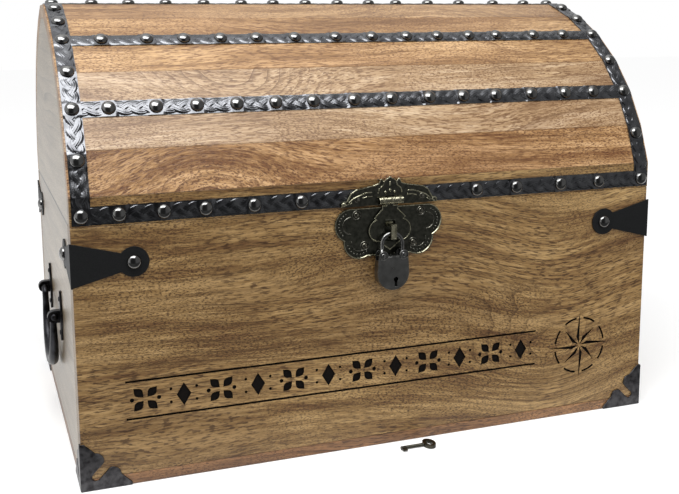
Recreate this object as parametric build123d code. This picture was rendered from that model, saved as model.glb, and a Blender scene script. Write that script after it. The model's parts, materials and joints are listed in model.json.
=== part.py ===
from build123d import *
from math import cos, hypot, pi, radians, sin
import os

os.makedirs("parts", exist_ok=True)

# Driving dimensions, in millimetres
# The origin is the middle of the bottom board's underside, +X to the right of
# someone who faces the chest, +Y to the back and +Z up.
chest_width = 400.0
chest_depth = 257.0
body_height = 162.0
lid_rise = 129.5
wall = 14.0
bottom_thickness = 7.0
stave_thickness = 9.0
running_gap = 0.3
overrun = 1.0

half_width = chest_width / 2
half_depth = chest_depth / 2


def save(name, *solids):
    """Write one piece, or a group of like pieces, under its own name."""
    shape = solids[0] if len(solids) == 1 else Compound(children=list(solids))
    export_step(shape, f"parts/{name}.step")


def block(low, high):
    """A board between two opposite corners."""
    size = [b - a for a, b in zip(low, high)]
    return Pos(*low) * Box(*size, align=(Align.MIN, Align.MIN, Align.MIN))


def flat(points):
    """A flat shape from its corners, drawn anticlockwise whichever way they are given."""
    pairs = zip(points, points[1:] + points[:1])
    doubled_area = sum(x0 * y1 - x1 * y0 for (x0, y0), (x1, y1) in pairs)
    return Polygon(*(points if doubled_area > 0 else points[::-1]), align=None)


def mirrored(points):
    """Corners on the other side of the upright middle line, in the opposite order."""
    return [(-x, y) for x, y in reversed(points)]


def both_sides(shape):
    """A piece and its mirror image on the other side of the chest."""
    return [shape, mirror(shape, about=Plane.YZ)]


def four_corners(shape):
    """A piece at one corner, repeated at the other three."""
    pair = both_sides(shape)
    return pair + [mirror(piece, about=Plane.XZ) for piece in pair]


# Domed nails and screws, all seated on the face that they hold down
nail_radius = 4.4
nail_height = 3.0
nail_sides = 8
shoulder_share = 0.55
crown_share = 0.62
waist_share = (1 + crown_share) / 2


def dome_nail(radius, height):
    """Forged head: a steep shoulder and a flatter crown on an eight-sided foot, pointing up."""
    shoulder = height * shoulder_share
    waist = radius * waist_share
    low = flat(ring_of_points(radius))
    middle = Plane.XY.offset(shoulder) * flat(ring_of_points(waist))
    top = Plane.XY.offset(height) * flat(ring_of_points(radius * crown_share / 2))
    return loft([low, middle], ruled=True) + loft([middle, top], ruled=True)


def ring_of_points(radius):
    """Corners of a regular outline, one for each side of a nail's head."""
    turns = [2 * pi * i / nail_sides for i in range(nail_sides)]
    return [(radius * cos(turn), radius * sin(turn)) for turn in turns]


# The body: a bottom board, two ends held between a front and a back board
def body_panels():
    front = block(
        (-half_width, -half_depth, bottom_thickness),
        (half_width, wall - half_depth, body_height),
    )
    side = block(
        (-half_width, wall - half_depth, bottom_thickness),
        (wall - half_width, half_depth - wall, body_height),
    )
    bottom = block((-half_width, -half_depth, 0), (half_width, half_depth, bottom_thickness))
    return front, mirror(front, about=Plane.XZ), side, mirror(side, about=Plane.YZ), bottom


# The lid's outline, from the front edge to the middle stave: shares of half the
# depth and of the rise. The first stretch is the upright rail.
lid_outline_shares = [
    (0.0, 0.0),
    (0.0, 0.135),
    (0.077, 0.335),
    (0.182, 0.513),
    (0.322, 0.676),
    (0.503, 0.82),
    (0.694, 0.924),
    (0.901, 1.0),
]


def lid_outline():
    """Corners of the lid's outside in Y and Z, front to back."""
    front = [
        (half_depth * (across - 1), body_height + lid_rise * up)
        for across, up in lid_outline_shares
    ]
    return front + [(-y, z) for y, z in reversed(front)]


def moved_outline(points, inward):
    """The outline moved in by a distance, or out by a negative one, its corners mitred."""
    moved = []
    for i, (y, z) in enumerate(points):
        ends = [(a, a + 1) for a in (i - 1, i) if 0 <= a < len(points) - 1]
        runs = [(points[b][0] - points[a][0], points[b][1] - points[a][1]) for a, b in ends]
        normals = [(dz / hypot(dy, dz), -dy / hypot(dy, dz)) for dy, dz in runs]
        ny = sum(normal[0] for normal in normals)
        nz = sum(normal[1] for normal in normals)
        reach = inward * len(normals) / (ny**2 + nz**2)
        moved.append((y + ny * reach, z + nz * reach))
    return moved


def prism(outline, start, end):
    """A YZ outline carried along X."""
    face = Plane.YZ.offset(start) * flat(outline)
    return extrude(face, amount=end - start)


outer = lid_outline()
inner = moved_outline(outer, stave_thickness)


def lid_boards():
    """Upright rails and mitred staves, front to back, each with a flat outside."""
    corners = list(zip(outer, inner))
    return [
        prism([a, b, b_in, a_in], -half_width, half_width)
        for (a, a_in), (b, b_in) in zip(corners, corners[1:])
    ]


def lid_end():
    """Arched left end board that the staves are nailed over."""
    return prism(inner, -half_width, wall - half_width)


# Pressed metal strips over the lid, with arched bands at its two ends
strip_width = 11.0
strip_thickness = 1.0
strip_lift = 1.0
band_inset = 1.2
lower_joint_count = 3
upper_joint_count = 5


def arc_lengths(points):
    """How far along the outline each corner lies."""
    lengths = [0.0]
    for (y0, z0), (y1, z1) in zip(points, points[1:]):
        lengths.append(lengths[-1] + hypot(y1 - y0, z1 - z0))
    return lengths


along = arc_lengths(outer)
outline_length = along[-1]


def point_at(distance):
    """The point of the outline at a distance along it, and its outward direction."""
    i = max(k for k in range(len(outer) - 1) if along[k] <= distance)
    share = (distance - along[i]) / (along[i + 1] - along[i])
    (y0, z0), (y1, z1) = outer[i], outer[i + 1]
    run = along[i + 1] - along[i]
    place = (y0 + (y1 - y0) * share, z0 + (z1 - z0) * share)
    return place, ((z0 - z1) / run, (y1 - y0) / run)


def strip_section(start, end):
    """Section of a strip laid on the outline between two distances along it."""
    between = [p for p, at in zip(outer, along) if start < at < end]
    laid = [point_at(start)[0], *between, point_at(end)[0]]
    return laid + moved_outline(laid, -strip_thickness)[::-1]


rim_centre = strip_lift + strip_width / 2
strip_centres = [
    rim_centre,
    along[lower_joint_count],
    along[upper_joint_count],
    outline_length / 2,
    outline_length - along[upper_joint_count],
    outline_length - along[lower_joint_count],
    outline_length - rim_centre,
]
strip_end = half_width - band_inset - strip_width


def long_strip(centre, start, end):
    section = strip_section(centre - strip_width / 2, centre + strip_width / 2)
    return prism(section, start, end)


def arched_band():
    section = strip_section(strip_lift, outline_length - strip_lift)
    return prism(section, strip_end, strip_end + strip_width)


# Nails along each strip from the left: shares of the chest's width
front_rim_nail_shares = [0.071, 0.137, 0.2, 0.276, 0.352, 0.658, 0.733, 0.819, 0.896]
lower_nail_shares = [0.07, 0.141, 0.204, 0.267, 0.33, 0.393, 0.463, 0.529, 0.598, 0.661]
lower_nail_shares += [0.723, 0.793, 0.861, 0.918]
upper_nail_shares = [0.076, 0.148, 0.208, 0.269, 0.33, 0.397, 0.47, 0.537, 0.602, 0.662]
upper_nail_shares += [0.724, 0.78, 0.857, 0.92]
top_nail_shares = [0.083, 0.146, 0.211, 0.279, 0.348, 0.408, 0.47, 0.533, 0.596, 0.652]
top_nail_shares += [0.719, 0.786, 0.861, 0.93]
back_rim_nail_shares = [0.071, 0.35, 0.45, 0.55, 0.65, 0.929]
strip_nail_shares = [
    front_rim_nail_shares,
    lower_nail_shares,
    upper_nail_shares,
    top_nail_shares,
    upper_nail_shares,
    lower_nail_shares,
    back_rim_nail_shares,
]


def seated_nail(distance):
    """A nail on the strip at a distance along the outline. One that comes near a fold
    sits over it, faces between its slopes and is hollowed to fit them."""
    fold = min(along, key=lambda corner: abs(corner - distance))
    if abs(fold - distance) > nail_radius:
        (y, z), (out_y, out_z) = point_at(distance)
        seat = (0, y + out_y * strip_thickness, z + out_z * strip_thickness)
        face = Plane(origin=seat, x_dir=(1, 0, 0), z_dir=(0, out_y, out_z))
        return face * dome_nail(nail_radius, nail_height)
    (y, z), after = point_at(fold)
    before = point_at(fold - overrun)[1]
    middle = Vector(0, before[0] + after[0], before[1] + after[1])
    lean = middle.length / 2
    out = middle.normalized()
    dip = nail_radius * (1 - lean**2) ** 0.5 / lean + running_gap
    seat = Vector(0, y, z) + out * (strip_thickness / lean - dip)
    nail = Plane(origin=seat, x_dir=(1, 0, 0), z_dir=out) * dome_nail(nail_radius, nail_height)
    under = strip_section(fold - strip_width / 2, fold + strip_width / 2)
    return nail - prism(under, -strip_width, strip_width)


def band_nail_places():
    """Where the bands are nailed: at every strip, and between each two strips."""
    places = list(strip_centres)
    for low, high in zip(strip_centres, strip_centres[1:]):
        gaps = 3 if outline_length / 2 in (low, high) else 2
        places += [low + (high - low) * n / gaps for n in range(1, gaps)]
    return places


def lid_nails():
    nails = []
    for centre, shares in zip(strip_centres, strip_nail_shares):
        nail = seated_nail(centre)
        nails += [Pos(chest_width * share - half_width) * nail for share in shares]
    for distance in band_nail_places():
        nails += both_sides(Pos(strip_end + strip_width / 2) * seated_nail(distance))
    return nails


# Latch on the front: a shaped plate on the lid, a hasp hinged to it, and a plate
# on the box with a staple. Places are from the split between box and lid.
latch_sheet = 1.2
front_face = -half_depth
lid_plate_face = front_face - strip_thickness
knuckle_radius = 2.3
hasp_pin_radius = 1.0
pin_play = 0.05
knuckle_length = 5.3
knuckle_play = 0.15
hasp_axis_y = lid_plate_face - knuckle_radius - running_gap
hasp_rise = 4.0
hasp_axis_z = body_height + hasp_rise
hasp_sheet = 1.0
hasp_back = front_face - latch_sheet - running_gap
hasp_front = hasp_back - hasp_sheet


def front_sheet(outline, back, thickness):
    """A flat outline in X and Z, as a sheet whose back stands at a place in Y."""
    return extrude(Plane.XZ.offset(-back) * outline, amount=thickness)


lid_plate_half = 33.3
lid_plate_low = body_height + strip_lift
lid_plate_rise = 18.3
# Half of the crown, from the scroll tip to the peak: shares of the plate's half
# width and of its rise
crown_outline_shares = [
    (1.0, 0.0),
    (1.0, 0.13),
    (0.9, 0.2),
    (0.81, 0.48),
    (0.7, 0.6),
    (0.58, 0.64),
    (0.36, 0.7),
    (0.235, 0.77),
    (0.19, 0.93),
    (0.14, 0.83),
    (0.0, 1.0),
]


def lid_plate():
    """Crowned plate on the lid, with the two outer knuckles of the hasp's hinge."""
    right = [
        (lid_plate_half * across, lid_plate_low + lid_plate_rise * up)
        for across, up in crown_outline_shares
    ]
    plate = front_sheet(flat(right + mirrored(right[:-1])), lid_plate_face, latch_sheet)
    clear = knuckle_radius + running_gap
    notch = block(
        (-knuckle_length / 2 - knuckle_play, hasp_axis_y - clear, lid_plate_low - overrun),
        (knuckle_length / 2 + knuckle_play, lid_plate_face + overrun, hasp_axis_z + clear),
    )
    ears = [knuckle(sign * (knuckle_length + 2 * knuckle_play)) for sign in (-1, 1)]
    return plate - notch + ears[0] + ears[1] - hasp_bore()


def knuckle(x):
    """One rolled knuckle of the hasp's hinge, centred at x."""
    return Pos(x, hasp_axis_y, hasp_axis_z) * Rot(Y=90) * Cylinder(knuckle_radius, knuckle_length)


hinge_span = 3 * knuckle_length + 4 * knuckle_play


def hasp_bore():
    bore = Cylinder(hasp_pin_radius + pin_play, hinge_span + overrun)
    return Pos(0, hasp_axis_y, hasp_axis_z) * Rot(Y=90) * bore


def hasp_pin():
    return Pos(0, hasp_axis_y, hasp_axis_z) * Rot(Y=90) * Cylinder(hasp_pin_radius, hinge_span)


# Hasp, measured down from its hinge
neck_half = 5.6
neck_drop = hasp_axis_z - lid_plate_low + running_gap
horn_half = 11.2
horn_drop = 11.3
horn_notch_half = 9.0
horn_notch_drop = 13.6
hasp_lobe_radius = 7.5
hasp_lobe_centre = 7.3
hasp_lobe_drop = 19.6
hasp_waist_half = 10.4
hasp_waist_drop = 24.7
hasp_length = 32.9
slot_half = 3.7
slot_top = 13.4
slot_low = 26.8
slot_corner = 1.5


def hasp():
    """Leaf-shaped hasp with a long slot for the staple and its knuckle at the top."""
    neck = [
        (knuckle_length / 2, 0),
        (knuckle_length / 2, -neck_drop),
        (neck_half, -neck_drop),
        (neck_half, -horn_drop + neck_half),
        (horn_half, -horn_drop),
        (horn_notch_half, -horn_notch_drop),
    ]
    outline = flat(neck + mirrored(neck))
    for sign in (-1, 1):
        outline += Pos(sign * hasp_lobe_centre, -hasp_lobe_drop) * Circle(hasp_lobe_radius)
    tail = [
        (hasp_waist_half, -hasp_lobe_drop),
        (hasp_waist_half, -hasp_waist_drop),
        (hasp_waist_half / 3, -hasp_length + hasp_waist_half / 4),
        (0, -hasp_length),
    ]
    outline += flat(tail + mirrored(tail[:-1]))
    slot = Rectangle(2 * slot_half, slot_low - slot_top)
    slot = fillet(slot.vertices(), slot_corner)
    outline -= Pos(0, -(slot_top + slot_low) / 2) * slot
    sheet = front_sheet(Pos(0, hasp_axis_z) * outline, hasp_back, hasp_sheet)
    return sheet + knuckle(0) - hasp_bore()


# Scalloped plate on the box, measured down from its straight top edge
box_plate_rim = 0.5
box_plate_top = body_height - box_plate_rim
box_plate_half = 28.5
box_plate_core = 20.0
box_plate_foot = 31.5
side_lobe_centre = 26.5
side_lobe_drop = 10.8
side_lobe_radius = 10.8
low_lobe_centre = 20.5
low_lobe_drop = 22.0
low_lobe_radius = 10.8
middle_lobe_drop = 22.0
middle_lobe_radius = 12.5


def box_plate():
    """Plate with a big lobe at each side and three shallow ones below."""
    outline = Pos(0, -box_plate_core / 2) * Rectangle(2 * box_plate_half, box_plate_core)
    outline += Pos(0, -box_plate_foot / 2) * Rectangle(2 * low_lobe_centre, box_plate_foot)
    outline += Pos(0, -middle_lobe_drop) * Circle(middle_lobe_radius)
    for sign in (-1, 1):
        outline += Pos(sign * side_lobe_centre, -side_lobe_drop) * Circle(side_lobe_radius)
        outline += Pos(sign * low_lobe_centre, -low_lobe_drop) * Circle(low_lobe_radius)
    return front_sheet(Pos(0, box_plate_top) * outline, front_face, latch_sheet)


# Padlock: a bowed shackle hung in the staple, and a riveted case below it
shackle_wire = 1.4
shackle_bend = 7.1
shackle_leg = 6.8
lock_depth = 6.0
lock_plane = hasp_front - running_gap - lock_depth / 2

staple_width = 3.8
staple_bar = 1.7
staple_height = 9.6
staple_drop = 11.0
staple_top = body_height - staple_drop
staple_depth = 8.0
staple_front = lock_plane - shackle_wire - running_gap - staple_bar


def staple():
    """Flat bar bent to a U, its two legs through the plate and into the front board."""
    low = staple_top - staple_height
    bar = block(
        (-staple_width / 2, staple_front, low),
        (staple_width / 2, front_face + staple_depth, staple_top),
    )
    window = block(
        (-staple_width, staple_front + staple_bar, low + staple_bar),
        (staple_width, half_depth, staple_top - staple_bar),
    )
    return bar - window


bend_inside = shackle_bend - shackle_wire
bend_drop = (bend_inside**2 - (staple_width / 2) ** 2) ** 0.5
bend_centre_z = staple_top - staple_height + staple_bar + pin_play - bend_drop
rivet_z = bend_centre_z - shackle_leg
rivet_x = shackle_bend
rivet_radius = 1.2
rivet_head = 2.0
rivet_head_height = 0.8
eye_outer = 2.6
toe_depth = 4.8
catch_top = 2.2
catch_low = 3.8
catch_bite = 0.9


def wire_path():
    """Line of the shackle's wire, from its eye round the bend to its toe."""
    foot = (-shackle_bend, lock_plane, rivet_z)
    left = (-shackle_bend, lock_plane, bend_centre_z)
    crown = (0, lock_plane, bend_centre_z + shackle_bend)
    right = (shackle_bend, lock_plane, bend_centre_z)
    toe = (shackle_bend, lock_plane, rivet_z - toe_depth)
    return Line(foot, left) + ThreePointArc(left, crown, right) + Line(right, toe)


def shackle():
    """Bowed wire with a pierced eye on its left leg and a notch for the bolt in its toe."""
    start = Plane(origin=(-shackle_bend, lock_plane, rivet_z), x_dir=(1, 0, 0), z_dir=(0, 0, 1))
    wire = sweep(start * Circle(shackle_wire), path=wire_path())
    eye = Pos(-rivet_x, lock_plane, rivet_z) * Rot(X=90) * Cylinder(eye_outer, 2 * shackle_wire)
    hole = Cylinder(rivet_radius + pin_play, lock_depth)
    hole = Pos(-rivet_x, lock_plane, rivet_z) * Rot(X=90) * hole
    notch = block(
        (0, lock_plane - lock_depth, rivet_z - catch_low),
        (shackle_bend - shackle_wire + catch_bite, lock_plane + lock_depth, rivet_z - catch_top),
    )
    return wire + eye - hole - notch


# Padlock case, measured from the line of its two top rivets
case_sheet = 0.8
ear_radius = 3.2
cheek_half = 10.9
cheek_drop = 12.0
case_bottom = cheek_drop + cheek_half
brow_drop = 0.5
band_top = 3.1
ear_inner = 3.8
keyhole_x = 1.7
keyhole_drop = 16.0
keyhole_eye = 1.6
keyhole_slit = 0.9
keyhole_length = 4.6


def case_outline():
    """Two round ears on straight cheeks that close in a round bottom."""
    lower = Pos(0, -cheek_drop) * Circle(cheek_half)
    cheek = [(cheek_half, -cheek_drop), (rivet_x + ear_radius, 0), (rivet_x, -brow_drop)]
    outline = lower + flat(cheek + mirrored(cheek))
    for sign in (-1, 1):
        outline += Pos(sign * rivet_x, 0) * Circle(ear_radius)
    return outline


def case_face(back, thickness):
    return front_sheet(Pos(0, rivet_z) * case_outline(), back, thickness)


def rivet_hole():
    hole = Cylinder(rivet_radius, lock_depth + overrun)
    return Pos(-rivet_x, lock_plane, rivet_z) * Rot(X=90) * hole


def case_front():
    """Front plate with the keyhole."""
    plate = case_face(lock_plane - lock_depth / 2 + case_sheet, case_sheet)
    depth = lock_plane + lock_depth
    eye = Pos(keyhole_x, rivet_z - keyhole_drop) * Circle(keyhole_eye)
    slit = Pos(keyhole_x, rivet_z - keyhole_drop - keyhole_length / 2) * Rectangle(
        2 * keyhole_slit, keyhole_length
    )
    cut = front_sheet(eye + slit, depth, 2 * lock_depth)
    return plate - cut - rivet_hole()


def case_wall(window):
    """The stretch inside a window of the thin wall that runs round the case's outline."""
    wall_line = case_outline() - offset(case_outline(), amount=-case_sheet)
    depth = lock_depth - 2 * case_sheet
    return front_sheet(Pos(0, rivet_z) * (wall_line & window), lock_plane + depth / 2, depth)


def case_back():
    """Back plate, with the lip that closes the top between the ears."""
    between_ears = Rectangle(2 * ear_inner, 2 * ear_radius)
    plate = case_face(lock_plane + lock_depth / 2, case_sheet) + case_wall(between_ears)
    return plate - rivet_hole()


def case_band():
    """Side wall from one ear round the bottom to the other."""
    below_ears = Rectangle(case_bottom + cheek_half, case_bottom, align=(Align.CENTER, Align.MAX))
    return case_wall(Pos(0, -band_top) * below_ears)


def case_rivets():
    """Rivet that the shackle turns on, and the matching stud on the other ear."""
    heads = []
    pivot = Cylinder(rivet_radius, lock_depth)
    pivot = Pos(-rivet_x, lock_plane, rivet_z) * Rot(X=90) * pivot
    front = lock_plane - lock_depth / 2
    for sign in (-1, 1):
        face = Plane(origin=(sign * rivet_x, front, rivet_z), x_dir=(1, 0, 0), z_dir=(0, -1, 0))
        heads.append(face * dome_nail(rivet_head, rivet_head_height))
    return [pivot + heads[0], heads[1]]


bolt_play = 0.1
bolt_length = 10.0
bolt_half_depth = 1.6


def lock_bolt():
    """Bolt whose tip stands in the notch of the shackle's toe."""
    tip = shackle_bend - shackle_wire + catch_bite - bolt_play
    return block(
        (tip - bolt_length, lock_plane - bolt_half_depth, rivet_z - catch_low + bolt_play),
        (tip, lock_plane + bolt_half_depth, rivet_z - catch_top - bolt_play),
    )


# Butt hinges on the back, stopped by a tail on the lid's knuckle
hinge_place_share = 0.3
hinge_place = chest_width * hinge_place_share
hinge_width = 50.0
hinge_leaf = 16.0
leaf_thickness = 1.5
barrel_radius = 2.8
hinge_pin_radius = 1.2
hinge_middle = 20.0
hinge_play = 0.2
tail_length = 4.0
tail_top = 1.8
lid_opening = 105.0
hinge_axis_y = half_depth + barrel_radius + running_gap
hinge_axis_z = body_height
screw_radius = 3.0
screw_height = 0.9
screw_place_share = 0.34


def barrel(length, x):
    """Rolled barrel of a back hinge with its bore."""
    tube = Cylinder(barrel_radius, length) - Cylinder(hinge_pin_radius + pin_play, length)
    return Pos(x, hinge_axis_y, hinge_axis_z) * Rot(Y=90) * tube


def leaf(low, high, x_half, x):
    """A flat stretch of hinge leaf on the chest's back."""
    return block((x - x_half, half_depth, low), (x + x_half, half_depth + leaf_thickness, high))


def bore_through(x):
    bore = Cylinder(hinge_pin_radius + pin_play, 2 * hinge_width)
    return Pos(x, hinge_axis_y, hinge_axis_z) * Rot(Y=90) * bore


outer_barrel = (hinge_width - hinge_middle) / 2 - hinge_play
leaf_gap = barrel_radius + running_gap


def box_leaf(x):
    """Leaf on the box with the hinge's two outer barrels."""
    half = hinge_width / 2
    shape = leaf(hinge_axis_z - hinge_leaf, hinge_axis_z - leaf_gap, half, x)
    for sign in (-1, 1):
        centre = x + sign * (half - outer_barrel / 2)
        shape += leaf(hinge_axis_z - leaf_gap, hinge_axis_z, outer_barrel / 2, centre)
        shape += barrel(outer_barrel, centre)
    return shape - bore_through(x)


def stop_tail(x):
    """Tail of the lid's barrel that meets the box leaf when the lid is fully open."""
    inner_face = half_depth + leaf_thickness + running_gap / 3
    tail = block(
        (x - hinge_middle / 2, inner_face, hinge_axis_z - barrel_radius - tail_length),
        (x + hinge_middle / 2, hinge_axis_y - running_gap, hinge_axis_z - tail_top),
    )
    about = Pos(0, hinge_axis_y, hinge_axis_z)
    return about * Rot(X=lid_opening) * about.inverse() * tail


def lid_leaf(x):
    """Leaf on the lid with the middle barrel and its stop tail."""
    half = hinge_width / 2
    shape = leaf(hinge_axis_z + leaf_gap, hinge_axis_z + hinge_leaf, half, x)
    shape += leaf(hinge_axis_z, hinge_axis_z + leaf_gap, hinge_middle / 2, x)
    shape += barrel(hinge_middle, x) + stop_tail(x)
    return shape - bore_through(x)


def hinge_pin(x):
    return Pos(x, hinge_axis_y, hinge_axis_z) * Rot(Y=90) * Cylinder(hinge_pin_radius, hinge_width)


def hinge_screws(z):
    """Two screw heads on one leaf of each hinge."""
    heads = []
    for x in (-hinge_place, hinge_place):
        for sign in (-1, 1):
            seat = (x + sign * hinge_width * screw_place_share, half_depth + leaf_thickness, z)
            face = Plane(origin=seat, x_dir=(1, 0, 0), z_dir=(0, 1, 0))
            heads.append(face * dome_nail(screw_radius, screw_height))
    return heads


# Black brackets round the top corners of the box
bracket_sheet = 1.0
bracket_drop = 9.0
bracket_base = 27.0
bracket_neck = 11.0
bracket_reach = 36.0
bracket_end = 9.2
bracket_taper = 29.5
bracket_z = body_height - bracket_drop - bracket_base / 2


def bracket_leg():
    """One tapered leg with a round end, drawn from the corner along +X."""
    upper = [
        (bracket_reach, bracket_neck / 2),
        (bracket_taper, bracket_neck / 2),
        (-bracket_sheet, bracket_base / 2),
    ]
    lower = [(x, -z) for x, z in reversed(upper)]
    return flat(upper + lower) + Pos(bracket_reach, 0) * Circle(bracket_end)


def corner_legs(outline, sheet, z):
    """An outline on the front and on the left side, joined at the front left edge."""
    front = Plane(origin=(-half_width, -half_depth, z), x_dir=(1, 0, 0), z_dir=(0, -1, 0))
    side = Plane(origin=(-half_width, -half_depth, z), x_dir=(0, 1, 0), z_dir=(1, 0, 0))
    return extrude(front * outline, amount=sheet) + extrude(side * outline, amount=-sheet)


def bracket():
    return corner_legs(bracket_leg(), bracket_sheet, bracket_z)


def bracket_nail():
    """The nails in the two round ends of the front left bracket."""
    front = (bracket_reach - half_width, -half_depth - bracket_sheet, bracket_z)
    side = (-half_width - bracket_sheet, bracket_reach - half_depth, bracket_z)
    return [
        Plane(origin=front, x_dir=(1, 0, 0), z_dir=(0, -1, 0)) * dome_nail(nail_radius, nail_height),
        Plane(origin=side, x_dir=(0, 1, 0), z_dir=(-1, 0, 0)) * dome_nail(nail_radius, nail_height),
    ]


# Pressed steel protectors on three faces of each bottom corner, the flap below
# let into the board so that the chest stands flat
guard_sheet = 1.0
guard_leg = 30.0
guard_tip = 2.0
guard_lobe = 5.0
lobe_near = 8.5
lobe_far = 18.5
guard_notch = 2.5


def guard_outline():
    """Quarter plate with two lobes and a round-ended notch towards the corner."""
    half = [
        (guard_leg, 0),
        (guard_leg, guard_tip),
        (lobe_far + guard_lobe, lobe_near),
        (lobe_far, lobe_near),
    ]
    outline = flat([(0, 0)] + half + [(b, a) for a, b in reversed(half)])
    outline += Pos(lobe_far, lobe_near) * Circle(guard_lobe)
    outline += Pos(lobe_near, lobe_far) * Circle(guard_lobe)
    slot = Pos(lobe_far / 2, 0) * Rectangle(lobe_far, 2 * guard_notch) + Circle(guard_notch)
    return outline - Pos(lobe_near, lobe_near) * Rot(Z=45) * slot


def guard_flap():
    flap = Plane(origin=(-half_width, -half_depth, 0)) * guard_outline()
    return extrude(flap, amount=guard_sheet)


def guard():
    """Front left protector: a leg on the front, one on the side and a flap below."""
    edge = Rectangle(guard_sheet, guard_leg, align=(Align.MAX, Align.MIN))
    return corner_legs(guard_outline() + edge, guard_sheet, 0) + guard_flap()


# Drop handles on both ends: two eye plates and a swelled bail
handle_half = 42.0
handle_z = 86.0
plate_height = 34.0
plate_belly = 6.5
plate_point = 1.5
plate_thickness = 1.5
eye_radius = 4.2
eye_width = 5.0
eye_out = 5.4
bail_wire = 2.25
bail_play = 0.1
bail_swell = 3.8
bail_eye_gap = 1.5
bail_shoulder = 5.0
bail_half = handle_half - eye_width / 2 - bail_eye_gap - bail_shoulder
bail_leg = 4.0
bail_pin_end = 1.5
grip_step = 20
handle_nail_radius = 1.8
handle_nail_height = 0.8
handle_nail_share = 0.34
eye_centre_x = -half_width - eye_out


def eye_plate(y):
    """Pointed plate on the left side with a thick eye for the bail."""
    tips = [
        (plate_point, plate_height / 2),
        (plate_belly, 0),
        (plate_point, -plate_height / 2),
    ]
    outline = flat(tips + mirrored(tips))
    outline += Circle(plate_belly)
    face = Plane(origin=(-half_width, y, handle_z), x_dir=(0, -1, 0), z_dir=(-1, 0, 0))
    plate = extrude(face * outline, amount=plate_thickness)
    ring = Pos(eye_centre_x, y, handle_z) * Rot(X=90) * Cylinder(eye_radius, eye_width)
    root = block(
        (eye_centre_x, y - eye_width / 2, handle_z - eye_radius),
        (-half_width - plate_thickness / 2, y + eye_width / 2, handle_z + eye_radius),
    )
    hole = Cylinder(bail_wire + bail_play, eye_width + overrun)
    hole = Pos(eye_centre_x, y, handle_z) * Rot(X=90) * hole
    return plate + ring + root - hole


def handle_nails():
    """Two round nails through each pointed plate of the left handle."""
    nails = []
    for y in (-handle_half, handle_half):
        for sign in (-1, 1):
            z = handle_z + sign * plate_height * handle_nail_share
            seat = (-half_width - plate_thickness, y, z)
            face = Plane(origin=seat, x_dir=(0, 1, 0), z_dir=(-1, 0, 0))
            nails.append(face * dome_nail(handle_nail_radius, handle_nail_height))
    return nails


def swelled_grip():
    """Half round of the bail, thickest at the bottom, lofted through circles."""
    stations = []
    for turn in range(0, 180 + grip_step, grip_step):
        angle = radians(turn)
        radius = bail_wire + (bail_swell - bail_wire) * sin(angle)
        low = handle_z - bail_shoulder - bail_leg
        centre = (eye_centre_x, bail_half * cos(angle), low - bail_half * sin(angle))
        heading = (0, -sin(angle), -cos(angle))
        stations.append(Plane(origin=centre, x_dir=(1, 0, 0), z_dir=heading) * Circle(radius))
    return loft(stations)


def bail():
    """Bail of the left handle: pins through the eyes, bent down to the swelled grip."""
    tip_y = handle_half + eye_width / 2 + bail_pin_end
    pin = (eye_centre_x, tip_y, handle_z)
    bend = (eye_centre_x, bail_half + bail_shoulder, handle_z)
    drop = (eye_centre_x, bail_half, handle_z - bail_shoulder)
    low = (eye_centre_x, bail_half, handle_z - bail_shoulder - bail_leg)
    middle = bail_shoulder * (1 - sin(pi / 4))
    via = (eye_centre_x, bail_half + middle, handle_z - middle)
    path = Line(pin, bend) + ThreePointArc(bend, via, drop) + Line(drop, low)
    start = Plane(origin=pin, x_dir=(1, 0, 0), z_dir=(0, -1, 0)) * Circle(bail_wire)
    arm = sweep(start, path=path)
    return swelled_grip() + arm + mirror(arm, about=Plane.XZ)


# Key, lying on the ground in front of the chest
key_x = 28.5
key_distance = 13.0
key_y = -half_depth - key_distance
key_length = 24.5
key_shank = 1.2
key_bow_long = 4.2
key_bow_wide = 6.0
key_bow_wire = 1.1
key_bit_long = 3.0
key_bit_wide = 3.2
key_bit_sheet = 1.0


def key():
    """Pipe key: an oval bow, a round shank and a small bit at the far end."""
    z = key_shank
    bow_x = key_x - key_bow_long
    bow = Ellipse(key_bow_long, key_bow_wide) - Ellipse(
        key_bow_long - 2 * key_bow_wire, key_bow_wide - 2 * key_bow_wire
    )
    bow = extrude(Plane.XY.offset(z) * Pos(bow_x, key_y) * bow, amount=key_bow_wire, both=True)
    start = key_x - key_length
    end = bow_x - key_bow_long + key_bow_wire
    shank = Pos((start + end) / 2, key_y, z) * Rot(Y=90) * Cylinder(key_shank, end - start)
    bit = block(
        (start, key_y - key_shank - key_bit_wide, z - key_bit_sheet / 2),
        (start + key_bit_long, key_y, z + key_bit_sheet / 2),
    )
    return bow + shank + bit


# Put together
front, back, left, right, bottom = body_panels()
latch_staple = staple()
save("front_panel", front - latch_staple)
save("back_panel", back)
save("left_side_panel", left)
save("right_side_panel", right)
for flap in four_corners(guard_flap()):
    bottom -= flap
save("bottom_board", bottom)

boards = lid_boards()
save("front_rail", boards[0])
save("back_rail", boards[-1])
for number, board in enumerate(boards[1:-1], start=1):
    save(f"stave_{number:02d}", board)
left_end = lid_end()
save("left_lid_end", left_end)
save("right_lid_end", mirror(left_end, about=Plane.YZ))

strip_names = [
    "front_rim_strip",
    "lower_front_strip",
    "upper_front_strip",
    "top_strip",
    "upper_back_strip",
    "lower_back_strip",
]
for name, centre in zip(strip_names, strip_centres):
    save(name, long_strip(centre, -strip_end, strip_end))
hinge_near = hinge_place - hinge_width / 2 - overrun
hinge_far = hinge_place + hinge_width / 2 + overrun
outer_length = long_strip(strip_centres[-1], hinge_far, strip_end)
save(
    "back_rim_strips",
    long_strip(strip_centres[-1], -hinge_near, hinge_near),
    *both_sides(outer_length),
)
right_band = arched_band()
save("right_arched_band", right_band)
save("left_arched_band", mirror(right_band, about=Plane.YZ))
save("lid_nails", *lid_nails())

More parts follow.
